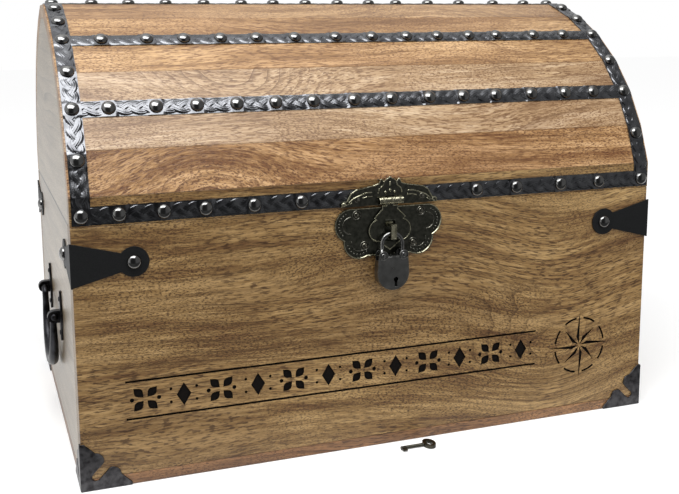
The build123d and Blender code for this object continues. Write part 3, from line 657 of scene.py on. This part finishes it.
centres = list(strip_places.values())
band_places = list(centres)
for low, high in zip(centres, centres[1:]):
    parts = 3 if total_along / 2 in (low, high) else 2
    band_places.extend(np.linspace(low, high, parts + 1)[1:-1])
band_nails = nail_place(np.array(band_places))
for side, name in ((-1, "left_arched_band"), (1, "right_arched_band")):
    along = np.linspace(strip_lift, total_along - strip_lift, band_rings)
    along = np.unique(np.concatenate([along, corners_along[1:-1]]))
    embossed = plait(along[:, None] + side * band_cut_from, across[None, :])
    height = pressed(embossed, along, band_nails)
    points = over_lid(side * band_centre + across[None, :], along[:, None], height)
    parts = [(points, bar_faces(*points.shape[:2]))]
    new_piece(name + "_plaited", parts, strip_steel, "lid", "black_strip", name, sharp=70)

# Nails of the strips and of the corner brackets: forged steel, driven through strip and
# board. Their polished dome heads mirror the dark room and one bright lamp. Over a fold
# the head is set a little lower, until its rim rests on both slopes.
nail_steel = clouded_metal("polished_nail_steel", "#6e6e6e", "#868684", 0.08, 0.17, 300.0)
dome_turns = np.linspace(0, 2 * np.pi, 18, endpoint=False)
dome_rises = np.radians([0, 18, 38, 58, 76, 90])
collar_share = 0.14


def dome_points(seats, facing, radius, height):
    """Rings of dome heads: an upright collar, then a quarter of an ellipse, each ring's
    centre up the facing direction from its seat in mm."""
    facing = np.broadcast_to(facing, np.shape(seats))
    facing = facing / np.linalg.norm(facing, axis=1, keepdims=True)
    first = np.where(np.abs(facing[:, :1]) < 0.9, [[1.0, 0.0, 0.0]], [[0.0, 1.0, 0.0]])
    second = np.cross(facing, first)
    rings = np.concatenate([[radius], radius * np.cos(dome_rises)])
    domed = collar_share + (1 - collar_share) * np.sin(dome_rises)
    rises = np.concatenate([[0.0], height * domed])
    cosines, sines = np.cos(dome_turns)[:, None], np.sin(dome_turns)[:, None]
    circle = cosines * first[:, None, None, :] + sines * second[:, None, None, :]
    centre = seats[:, None, None, :] + rises[:, None, None] * facing[:, None, None, :]
    return centre + rings[:, None, None] * circle


def dome_parts(points):
    """Each head as a part of its own, shut at the foot: its last ring is a point."""
    faces = bar_faces(*points.shape[1:3], shut=(True, False))
    return [(head, faces) for head in points]


nail_x, nail_along = [], []
for node, places in strip_nails.items():
    nail_x.append(places)
    nail_along.append(np.full(len(places), strip_places[node]))
for side in (-1, 1):
    nail_x.append(np.full(len(band_nails), side * band_centre))
    nail_along.append(band_nails)
nail_x = np.concatenate(nail_x)
nail_along = nail_place(np.concatenate(nail_along))
# on a slope a nail faces outwards, and over a fold it faces along the mitre
fold = np.abs(corners_along[:, None] - nail_along).argmin(0)
on_fold = np.isclose(corners_along[fold], nail_along)
segment = np.clip(np.searchsorted(corners_along, nail_along) - 1, 0, len(outward) - 1)
mitre_facing = mitres[fold] / np.linalg.norm(mitres[fold], axis=1, keepdims=True)
facing = np.where(on_fold[:, None], mitre_facing, outward[segment])
lean = (facing * outward[segment]).sum(1)
dip = nail_radius * np.sqrt(1 - np.clip(lean, 0, 1) ** 2) / lean
facing = np.insert(facing, 0, 0.0, axis=1)
seats = over_lid(nail_x, nail_along, 0.0)
seats += facing * (strip_thickness / lean - dip / 2)[:, None]
points = dome_points(seats, facing, nail_radius, nail_height)
# the collar's foot stands on the strip itself, also where that is folded
foot_x = nail_x[:, None] + nail_radius * np.cos(dome_turns)
foot_along = nail_along[:, None] + nail_radius * np.sin(dome_turns)
points[:, 0] = over_lid(foot_x, foot_along, strip_thickness)
new_piece("lid_nail_heads", dome_parts(points), nail_steel, "lid", "dark_nail", "lid_nails", sharp=60)

# two nails through each bracket, on the front or back and on the end of the chest
bracket_sheet, bracket_reach, bracket_z = 1.0, 36.0, 139.5
corners = np.array([(-1, -1), (1, -1), (-1, 1), (1, 1)])
on_fronts = corners * (half_width - bracket_reach, half_depth + bracket_sheet)
on_ends = corners * (half_width + bracket_sheet, half_depth - bracket_reach)
seats = np.insert(np.concatenate([on_fronts, on_ends]), 2, bracket_z, axis=1)
facing = np.repeat([(0, 1.0, 0), (1.0, 0, 0)], len(corners), axis=0) * np.sign(seats)
heads = dome_parts(dome_points(seats, facing, nail_radius, nail_height))
new_piece("bracket_nail_heads", heads, nail_steel, "chest", "dark_nail", "bracket_nails", sharp=60)

# Latch: crowned plate on the lid, hinged hasp, scalloped plate on the box and staple.
# Cast brass with an antique finish: nearly black in the sunk field, rubbed back to a
# dull gold on the raised rims and leaves. Nailed on with small round nails.
dark_bronze = clouded_metal("antique_bronze_field", "#3f4039", "#5e5e55", 0.28, 0.45, 420.0)
rubbed_bronze = clouded_metal("antique_bronze_rubbed", "#8d8b77", "#d4d0b4", 0.2, 0.36, 500.0)
mid_bronze = clouded_metal("antique_bronze_scrolls", "#54534a", "#84827a", 0.2, 0.34, 500.0)
worn_brass = clouded_metal("worn_brass_knuckle", "#9c9880", "#ccc8ae", 0.18, 0.3, 500.0)


def rimmed_piece(node, name, materials, rim, sink, edge, level, hole=(0.0, 0.0, 0.0)):
    """A plate whose flat front lies at a level in Y: inside a rim of a width in mm, the
    field is sunk by a depth. The rim has the second material, but not round a hole, given
    by its half width, foot and top."""
    wall_width = 0.25
    shape = merged_shape(node)
    front = [
        face
        for face in shape.faces
        if face.normal.y < -0.99 and abs(face.calc_center_median().y / mm - level) < 0.05
    ]
    raised = bmesh.ops.inset_region(shape, faces=front, thickness=rim * mm, use_even_offset=True)
    wall = bmesh.ops.inset_region(
        shape, faces=front, thickness=wall_width * mm, depth=-sink * mm, use_even_offset=True
    )
    half, foot, top = hole
    for face in raised["faces"] + wall["faces"]:
        x, _, z = np.array(face.calc_center_median()) / mm
        face.material_index = 0 if abs(x) < half and foot < z < top else 1
    return worn_piece(node, name, shape, materials, edge)


def even_path(corners, step, closed=False):
    """Points at even steps in mm along a path, and how far along each one lies."""
    corners = np.asarray(corners, float)
    if closed:
        corners = np.concatenate([corners, corners[:1]])
    reach = np.concatenate([[0], np.cumsum(np.linalg.norm(np.diff(corners, axis=0), axis=1))])
    places = np.linspace(0, reach[-1], max(int(reach[-1] / step), 6) + 1)
    if closed:
        places = places[:-1]
    return np.stack([np.interp(places, reach, column) for column in corners.T], 1), places


def swept(path, radii, lift=(0.0, -1.0, 0.0), sides=10, closed=False):
    """A round bar along a path: each ring is its point plus the radius times the cosine of
    the turn to the side of the path and the sine of the turn along the lift direction."""
    path = np.asarray(path, float)
    ahead = np.roll(path, -1, 0) - np.roll(path, 1, 0) if closed else np.gradient(path, axis=0)
    aside = np.cross(ahead, lift)
    aside /= np.linalg.norm(aside, axis=1, keepdims=True)
    turns = np.linspace(0, 2 * np.pi, sides, endpoint=False)[:, None]
    around_path = np.cos(turns) * aside[:, None] + np.sin(turns) * np.array(lift)
    radii = np.broadcast_to(radii, len(path))
    points = path[:, None] + radii[:, None, None] * around_path
    return points, bar_faces(len(path), sides, closed)


def bead(corners, level, radius, closed=False):
    """A raised round line on a plate, along corners in X and Z at a level in Y. Its ends
    are rounded: the radius times the root of one less the square of what is left to go."""
    corners = np.insert(np.asarray(corners, float), 1, level, axis=1)
    path, places = even_path(corners, radius * 0.6, closed)
    left = np.minimum(places, places.max() - places) / radius
    rounded = np.sqrt(np.clip(1 - (1 - np.clip(left, 0.01, 1)) ** 2, 0, 1))
    return swept(path, radius if closed else radius * rounded, sides=8, closed=closed)


def arc(centre, radius, first, last, count=24):
    """Points of an arc in X and Z between two turns in degrees."""
    turns = np.radians(np.linspace(first, last, count))
    return around(centre, np.full(count, radius), turns)


def both(points):
    """A path in X and Z, and its mirror image."""
    points = np.asarray(points, float)
    return [points, points * (-1, 1)]


def studs(places, level, radius, height):
    """Small domes on a plate that faces the front."""
    seats = np.insert(np.asarray(places, float), 1, level, axis=1)
    return dome_parts(dome_points(seats, np.array([0.0, -1.0, 0.0]), radius, height))


bronze = [dark_bronze, rubbed_bronze]
latch_sheet = 1.2
running_gap = 0.3
sunk = 0.35
lid_plate_low, lid_plate_high = place_of("lid_latch_plate")
lid_plate_foot = lid_plate_low[2]
lid_plate_y = lid_plate_high[1] - latch_sheet
from_solid("lid_latch_plate", "lid_plate", dark_bronze, 0.25)
crown_shares = [(1, 0), (1, 0.13), (0.9, 0.2), (0.81, 0.48), (0.7, 0.6), (0.58, 0.64)]
crown_shares += [(0.36, 0.7), (0.235, 0.77), (0.19, 0.93), (0.14, 0.83), (0, 1)]
rim_inset = 0.4
crown_size = (lid_plate_high[0] - rim_inset, lid_plate_high[2] - lid_plate_foot - rim_inset)
crown = np.array(crown_shares) * crown_size + (0, lid_plate_foot)
rim_path = np.concatenate([crown, crown[-2::-1] * (-1, 1)])
leaves = [bead(rim_path, lid_plate_y, 0.42)]
# raised lines of the leaves on both sides: the radius, and X and height above the foot
leaf_lines = [
    (0.42, [(12.4, 8.6), (16.5, 8.5), (21.0, 7.0), (25.0, 5.4), (28.6, 2.6)]),
    (0.38, [(12.0, 6.0), (16.0, 6.0), (19.0, 5.2)]),
    (0.38, [(26.0, 2.9), (27.6, 1.8), (30.6, 1.6)]),
    (0.42, [(3.8, 15.6), (5.0, 12.6), (7.6, 10.4), (8.4, 7.4)]),
]
for radius, line in leaf_lines:
    for path in both(np.array(line) + (0, lid_plate_foot)):
        leaves.append(bead(path, lid_plate_y, radius))
stem = np.array([(0, 15.4), (0, 12.2)]) + (0, lid_plate_foot)
leaves.append(bead(stem, lid_plate_y, 0.6))
berries = np.array([(0, 9.4), (-3.2, 8.2), (3.2, 8.2)]) + (0, lid_plate_foot)
leaves += studs(berries, lid_plate_y, 0.9, 0.7)
# a stud in the left tip, and an open eye in the right one
tip_z = lid_plate_foot + 1.9
leaves += studs([(-31.6, tip_z)], lid_plate_y, 1.5, 1.1)
leaves.append(bead(arc((31.4, tip_z), 1.2, 0, 300, 16), lid_plate_y, 0.45))
new_piece("lid_plate_leaves", leaves, rubbed_bronze, "lid", "antique_bronze")

# the box plate: a scroll in each wing and each lobe, rows of pearls, and ringed nails
box_plate_low, box_plate_high = place_of("box_latch_plate")
box_plate_y, box_plate_top = box_plate_low[1], box_plate_high[2]
box_rim = {"rim": 0.5, "sink": sunk, "edge": 0.18, "level": box_plate_y}
rimmed_piece("box_latch_plate", "box_plate", bronze, **box_rim)
field_y = box_plate_y + sunk
wing = (26.5, box_plate_top - 10.8)
lobe = (20.5, box_plate_top - 22.0)
middle_lobe = (0, box_plate_top - 22.0)
scrolls = [bead(path, field_y, 0.45) for path in both(arc(wing, 5.4, -95, 95))]
scrolls += [bead(path, field_y, 0.4) for path in both(arc(lobe, 5.6, -130, 10))]
pearl_rows = both(arc(wing, 8.0, -48, 66, 9)) + both(arc(lobe, 8.0, -128, -12, 8))
pearl_rows.append(arc(middle_lobe, 9.7, -128, -52, 6))
for row in pearl_rows:
    scrolls += studs(row, field_y, 0.6, 0.5)
upper_z, lower_z = box_plate_top - 4.2, box_plate_top - 24.5
box_nail_places = [(-22.5, upper_z), (22.5, upper_z), (-17.0, lower_z), (17.0, lower_z)]
for place in box_nail_places:
    scrolls.append(bead(round_outline(place, 2.7, 24), field_y, 0.45, closed=True))
new_piece("box_plate_scrolls", scrolls, mid_bronze, "chest", "antique_bronze")

hasp_foot = place_of("hasp")[0][2]
slot = (4.8, hasp_foot + 5.1, hasp_foot + 20.5)
hasp_rim = {"rim": 0.45, "sink": 0.2, "edge": 0.15, "level": lid_plate_y - running_gap}
rimmed_piece("hasp", "hasp_leaf", bronze, **hasp_rim, hole=slot)
staple_rim = {"rim": 0.5, "sink": 0.2, "edge": 0.2, "level": place_of("latch_staple")[0][1]}
rimmed_piece("latch_staple", "staple", [worn_brass, rubbed_bronze], **staple_rim)
from_solid("hasp_pin", "hasp_hinge_pin", worn_brass, 0.15)

# three turned knuckles on the pin, with two grooves at each end and rounded edges
knuckle_length, knuckle_play, knuckle_radius = 5.3, 0.3, 2.42
groove_depth, groove_half, groove_places = 0.14, 0.22, (0.75, 1.5)
edge_round, edge_reach = 0.2, 0.15
_, pin_y, pin_z = place_of("hasp_pin").mean(0)
share = np.linspace(-0.5, 0.5, 41)
from_end = (0.5 - np.abs(share)) * knuckle_length
radii = knuckle_radius - edge_round * np.exp(-from_end / edge_reach)
for place in groove_places:
    radii -= groove_depth * np.exp(-(((from_end - place) / groove_half) ** 2))
for number, body in ((-1, "lid"), (0, "hasp"), (1, "lid")):
    x = number * (knuckle_length + knuckle_play) + share * knuckle_length
    path = np.stack(np.broadcast_arrays(x, pin_y, pin_z), 1)
    parts = [swept(path, radii, lift=(0.0, 0.0, 1.0), sides=24)]
    new_piece(f"turned_knuckle_{number + 2}", parts, worn_brass, body, "antique_bronze")

# small nails, less bronzed than the plates and polished by wear
nail_bronze = clouded_metal("polished_latch_nail", "#6a685e", "#908d80", 0.12, 0.2, 300.0)
latch_nail_radius, latch_nail_height = 1.9, 0.7
lid_nail_places = [(side * 22.64, lid_plate_foot + 4.5) for side in (-1, 1)]
parts = studs(lid_nail_places, lid_plate_y, latch_nail_radius, latch_nail_height)
new_piece("lid_plate_nails", parts, nail_bronze, "lid", "dark_nail", "lid_latch_nails", sharp=60)
parts = studs(box_nail_places, field_y, latch_nail_radius, latch_nail_height + sunk)
new_piece("box_plate_nails", parts, nail_bronze, "chest", "dark_nail", "box_latch_nails", sharp=60)

# Padlock: riveted case, bowed shackle and sliding bolt. Sheet steel with two ears, blued
# and oiled to a soft grey gloss. The shackle swings on the rivet in the left ear, its wire
# bright where it rubs, and the bolt at the right catches its toe.
case_steel = clouded_metal("blued_padlock_steel", "#6c6c6a", "#888886", 0.26, 0.4, 160.0)
wire_steel = clouded_metal("worn_shackle_wire", "#6a6a69", "#989896", 0.16, 0.28, 300.0)
from_solid("padlock_back_plate", "padlock_back", case_steel, 0.2)
from_solid("padlock_side_band", "padlock_band", case_steel, 0.2)
from_solid("padlock_front_plate", "padlock_front", case_steel, 0.35)
from_solid("padlock_shackle", "padlock_bow", wire_steel, 0)
from_solid("padlock_bolt", "padlock_bolt_filed", wire_steel, 0.15)
case_y = place_of("padlock_front_plate")[0][1]
rivet_x, rivet_z = 7.1, place_of("padlock_rivets").mean(0)[2]
rivet_places = [(-rivet_x, rivet_z), (rivet_x, rivet_z)]
rivets = studs(rivet_places, case_y, 1.6, 0.8)
shaft_y = np.linspace(place_of("padlock_rivets")[1][1], case_y, 3)
shaft = np.stack(np.broadcast_arrays(-rivet_x, shaft_y, rivet_z), 1)
rivets.append(swept(shaft, 1.2, lift=(0.0, 0.0, 1.0), sides=16))
rivet_slot = slot_of["padlock_rivets"]
new_piece("padlock_rivet_heads", rivets, wire_steel, "padlock_case", rivet_slot, "padlock_rivets")
bosses = [bead(round_outline(place, 2.75, 24), case_y, 0.5, closed=True) for place in rivet_places]
brow_half, brow_z = 4.2, rivet_z - 1.376
bosses.append(bead([(-brow_half, brow_z), (brow_half, brow_z)], case_y, 0.45))
new_piece("padlock_bosses", bosses, case_steel, "padlock_case", "old_steel")

# Hinges on the back.
# Steel butt hinges, rolled round a pin and screwed on from outside, a dull warm grey under
# thin lacquer. A tail on each lid leaf stops the lid a little past upright.
hinge_steel = clouded_metal("lacquered_hinge_steel", "#4a4846", "#6e6c68", 0.3, 0.45, 200.0)
from_solid("hinge_box_leaves", "box_leaves", hinge_steel, 0.3)
from_solid("hinge_lid_leaves", "lid_leaves", hinge_steel, 0.3)
from_solid("hinge_pins", "butt_hinge_pins", hinge_steel, 0.2)
screw_turns = np.linspace(0, 2 * np.pi, 28, endpoint=False)
screw_rings = np.array([3.0, 2.9, 2.3, 1.55, 0.8, 0.0])[:, None]
screw_rises = np.array([0.0, 0.45, 0.75, 0.86, 0.9, 0.9])[:, None]
screw_reach = 17.0
slot_half, slot_depth = 0.46, 0.55


def screw_parts(node):
    """Oval screw heads on the back, in place of a node: rings as for a dome, each point but
    the rim's sunk by the slot's depth where it lies over the slot."""
    low, high = place_of(node)
    across = screw_rings * np.cos(screw_turns)
    up = screw_rings * np.sin(screw_turns)
    in_slot = (np.abs(up) < slot_half) * (screw_rings < screw_rings[0])
    rise = np.maximum(screw_rises - slot_depth * in_slot, 0.0)
    head = np.stack([across, rise, up], -1)
    faces = bar_faces(*across.shape, shut=(True, False))
    places = [side * hinge_x + step for side in (-1, 1) for step in (-screw_reach, screw_reach)]
    return [(head + (x, low[1], (low[2] + high[2]) / 2), faces) for x in places]


for node, name, body in (
    ("hinge_box_screws", "box_leaf_screws", "chest"),
    ("hinge_lid_screws", "lid_leaf_screws", "lid"),
):
    new_piece(name, screw_parts(node), hinge_steel, body, "hinge_steel", node)


# Brackets at the top corners and protectors at the bottom ones.
# Brackets: sheet steel folded round the corner, painted black. Protectors: pressed steel
# with two lobes on each leg, blued to an uneven dark grey, held by their own tight fold.
def black_paint(name):
    """Matt black paint on sheet steel, with a fine grain of dust in it."""
    tree, close = new_material(name)
    place = add(tree, "TexCoord").outputs["Object"]
    dust_and_painted_shade = add(tree, "TexNoise", named={"Vector": place, "Scale": 1500.0, "Detail": 2.0})
    colour = add(tree, "ValToRGB", dust_and_painted_shade, stops=[(0.35, "#0c0d0e"), (0.7, "#161718")])
    bump = add(tree, "Bump", named={"Height": dust_and_painted_shade, "Strength": 0.25, "Distance": 0.0001})
    paint = {"Base Color": colour, "Roughness": 0.55, "Specular IOR Level": 0.35, "Normal": bump}
    return close(add(tree, "BsdfPrincipled", named=paint))


from_solid("top_corner_brackets", "corner_brackets", black_paint("matt_black_paint"), 0.35)
guard_steel = clouded_metal("blued_guard_steel", "#333234", "#626163", 0.3, 0.5, 260.0)
from_solid("bottom_corner_protectors", "corner_protectors", guard_steel, 0.4)

# Drop handles on both ends.
# Two pointed cast plates, each with a thick eye, and a forged bail that swells towards
# its middle. Black iron with a broad, soft gloss.
handle_iron = clouded_metal("black_handle_iron", "#1d1d1f", "#3c3c3f", 0.3, 0.45, 220.0)
eye_x, eye_z = half_width + 5.4, 86.0
bail_half, shoulder, leg = 33.0, 5.0, 4.0
wire_radius, swell = 2.25, 1.55
pin_y = [46.0, 45.8, 45.2, bail_half + shoulder]
pin_end_radii = [1.2, 1.9]
turns = np.linspace(0, np.pi / 2, 9)
arm_y = np.concatenate([pin_y, bail_half + shoulder * (1 - np.sin(turns))])
arm_z = np.concatenate([np.full(len(pin_y), eye_z), eye_z - shoulder * (1 - np.cos(turns))])
wire_radii = np.full(len(arm_y) - len(pin_end_radii), wire_radius)
arm_radii = np.concatenate([pin_end_radii, wire_radii])
turns = np.linspace(0, np.pi, 41)
grip_y = bail_half * np.cos(turns)
grip_z = eye_z - shoulder - leg - bail_half * np.sin(turns)
grip_radii = wire_radius + swell * np.sin(turns)
path_y = np.concatenate([arm_y, grip_y, -arm_y[::-1]])
path_z = np.concatenate([arm_z, grip_z, arm_z[::-1]])
bail_radii = np.concatenate([arm_radii, grip_radii, arm_radii[::-1]])
for side, hand in ((-1, "left"), (1, "right")):
    from_solid(hand + "_handle_plates", hand + "_eye_plates", handle_iron, 0.5)
    path = np.stack([np.full(len(path_y), side * eye_x), path_y, path_z], 1)
    bail = swept(path, bail_radii, lift=(1.0, 0.0, 0.0), sides=20)
    node = hand + "_handle_bail"
    new_piece(hand + "_bail", [bail], handle_iron, hand + "_handle", slot_of[node], node)
small_radius, small_height = 1.8, 0.8
nails_low, nails_high = place_of("handle_nails")
seat_x, seat_y = nails_high[0] - small_height, nails_high[1] - small_radius
seat_z = (nails_low[2] + small_radius, nails_high[2] - small_radius)
corners = [(side * seat_x, y) for side in (-1, 1) for y in (-seat_y, seat_y)]
seats = np.array([(x, y, z) for x, y in corners for z in seat_z])
heads = dome_points(seats, np.sign(seats) * (1.0, 0.0, 0.0), small_radius, small_height)
new_piece("eye_plate_nails", dome_parts(heads), handle_iron, "chest", "dark_nail", "handle_nails", sharp=60)

# Key, lying in front of the chest.
# Cast and filed from brass with an old dark finish, a bow at one end and a bit at the other.
key_metal = clouded_metal("old_dark_key", "#3d3c37", "#5c5a50", 0.3, 0.45, 300.0)
from_solid("key", "pipe_key", key_metal, 0.25)

# Studio: white paper floor in a white room, a softbox above on the left, a weak one in
# front on the right. The room in front of the chest is dim, which keeps black metal black
# in the picture, and the softbox draws the silver on the strips and nail heads.
floor_reach, floor_front, floor_drop = 6.0, -0.45, -0.0002
floor_mesh = bpy.data.meshes.new("floor")
corner_signs = np.array([(-1, -1), (1, -1), (1, 1), (-1, 1)])
floor_corners = np.insert(corner_signs * floor_reach, 2, floor_drop, axis=1)
floor_corners[:2, 1] = floor_front
floor_mesh.from_pydata(floor_corners.tolist(), [], [(0, 1, 2, 3)])
floor = bpy.data.objects.new("floor", floor_mesh)
bpy.context.scene.collection.objects.link(floor)


def seen_directly(tree):
    """One for camera, glossy and transmission rays, and zero for the rays that light."""
    path = add(tree, "LightPath")
    seen = 0.0
    for ray in ("Is Camera Ray", "Is Glossy Ray", "Is Transmission Ray"):
        seen = add(tree, "Math", seen, path.outputs[ray], operation="MAXIMUM")
    return seen


def white_floor():
    """Matt white paper, with a light of its own for the camera alone, stronger far off."""
    tree, close = new_material("white_paper_floor")
    paper = add(tree, "BsdfDiffuse", linear("#ececec"))
    place = add(tree, "TexCoord").outputs["Object"]
    far = add(tree, "VectorMath", place, operation="LENGTH").outputs["Value"]
    lift = add(tree, "MapRange", far, 0.4, 1.1, 0.3, 0.62)
    lift = add(tree, "Math", seen_directly(tree), lift, operation="MULTIPLY")
    glow = add(tree, "Emission", (1, 1, 1, 1), lift)
    lit = add(tree, "AddShader", paper, glow)
    # the strip in front of the chest is dark in the metal's mirror, like the room there
    front = add(tree, "SeparateXYZ", place).outputs["Y"]
    front = add(tree, "MapRange", front, -0.2, -0.12, 1.0, 0.0)
    glossy = add(tree, "LightPath").outputs["Is Glossy Ray"]
    mirrored = add(tree, "Math", front, glossy, operation="MULTIPLY")
    dim = add(tree, "BsdfDiffuse", linear("#505050"))
    return close(add(tree, "MixShader", mirrored, lit, dim))


floor_mesh.materials.append(white_floor())

scene = bpy.context.scene
world = bpy.data.worlds.new("studio")
scene.world = world
world.use_nodes = True
sky = world.node_tree
sky.nodes.clear()
# in the metal's mirror the room is white behind and above, nearly black in front and grey
# on the right
towards = add(sky, "SeparateXYZ", add(sky, "TexCoord").outputs["Generated"])
bearing = add(sky, "Math", towards.outputs["X"], -0.8, towards.outputs["Y"], operation="MULTIPLY_ADD")
behind = add(sky, "MapRange", bearing, -0.4, 0.25, 0.055, 0.8, interpolation_type="SMOOTHSTEP")
beside = add(sky, "MapRange", towards.outputs["X"], 0.15, 0.45, 0.055, 0.28)
above = add(sky, "MapRange", towards.outputs["Z"], 0.8, 0.97, 0.0, 0.9)
mirrored = add(sky, "Math", behind, beside, operation="MAXIMUM")
mirrored = add(sky, "Math", mirrored, above, operation="ADD")
camera_ray = add(sky, "LightPath").outputs["Is Camera Ray"]
direct = add(sky, "Math", mirrored, camera_ray, operation="MAXIMUM")
# on matt surfaces the room sheds an even light of its own
ambient = 0.42
above_ambient = add(sky, "Math", direct, ambient, operation="SUBTRACT")
strength = add(sky, "Math", seen_directly(sky), above_ambient, ambient, operation="MULTIPLY_ADD")
add(sky, "OutputWorld", add(sky, "Background", (1, 1, 1, 1), strength))


def softbox(name, place, target, width, height, power):
    """A flat lamp at a place in metres, which faces its target."""
    lamp = bpy.data.lights.new(name, "AREA")
    lamp.shape = "RECTANGLE"
    lamp.size = width
    lamp.size_y = height
    lamp.energy = power
    holder = bpy.data.objects.new(name, lamp)
    scene.collection.objects.link(holder)
    aim = (Vector(target) - Vector(place)).to_track_quat("-Z", "Y")
    holder.matrix_world = Matrix.Translation(place) @ aim.to_matrix().to_4x4()
    return holder


softbox("overhead softbox", (-0.36, -0.52, 1.15), (-0.31, -0.4, 0.1), 1.2, 0.76, 17.9)
fill = softbox("front fill", (1.2, -1.4, 0.35), (0.12, 0, 0.08), 0.8, 0.8, 14.0)
fill.visible_glossy = False

# Camera, at the photograph's place: its place in mm, its turns in degrees and the focal
# length in pixels were fitted to the chest's corners and edges in the photograph. Its
# picture's middle isn't the lens's own, so the lens is shifted.
camera_place = np.array([-250.579, -705.409, 277.345])
azimuth, elevation, roll = np.radians([-19.828, 9.410, -0.366])
focal_pixels, centre_x, centre_y = 991.237, 326.324, 188.447
frame_width, frame_height, sensor = 679, 494, 36.0
flat_away = np.array([np.sin(azimuth), -np.cos(azimuth)]) * np.cos(elevation)
away = np.append(flat_away, np.sin(elevation))
level = np.cross(-away, [0, 0, 1])
level /= np.linalg.norm(level)
upright = np.cross(level, -away)
image_x = level * np.cos(roll) + upright * np.sin(roll)
image_y = upright * np.cos(roll) - level * np.sin(roll)
lens = bpy.data.cameras.new("camera")
lens.sensor_width = sensor
lens.lens = sensor * focal_pixels / frame_width
lens.shift_x = (frame_width / 2 - centre_x) / frame_width
lens.shift_y = (centre_y - frame_height / 2) / frame_width
lens.clip_start = 0.05
camera = bpy.data.objects.new("camera", lens)
turned = np.eye(4)
turned[:3, :3] = np.stack([image_x, image_y, away], 1)
turned[:3, 3] = camera_place * mm
camera.matrix_world = Matrix(turned.tolist())
scene.collection.objects.link(camera)
scene.camera = camera
scene.view_settings.view_transform = "Standard"
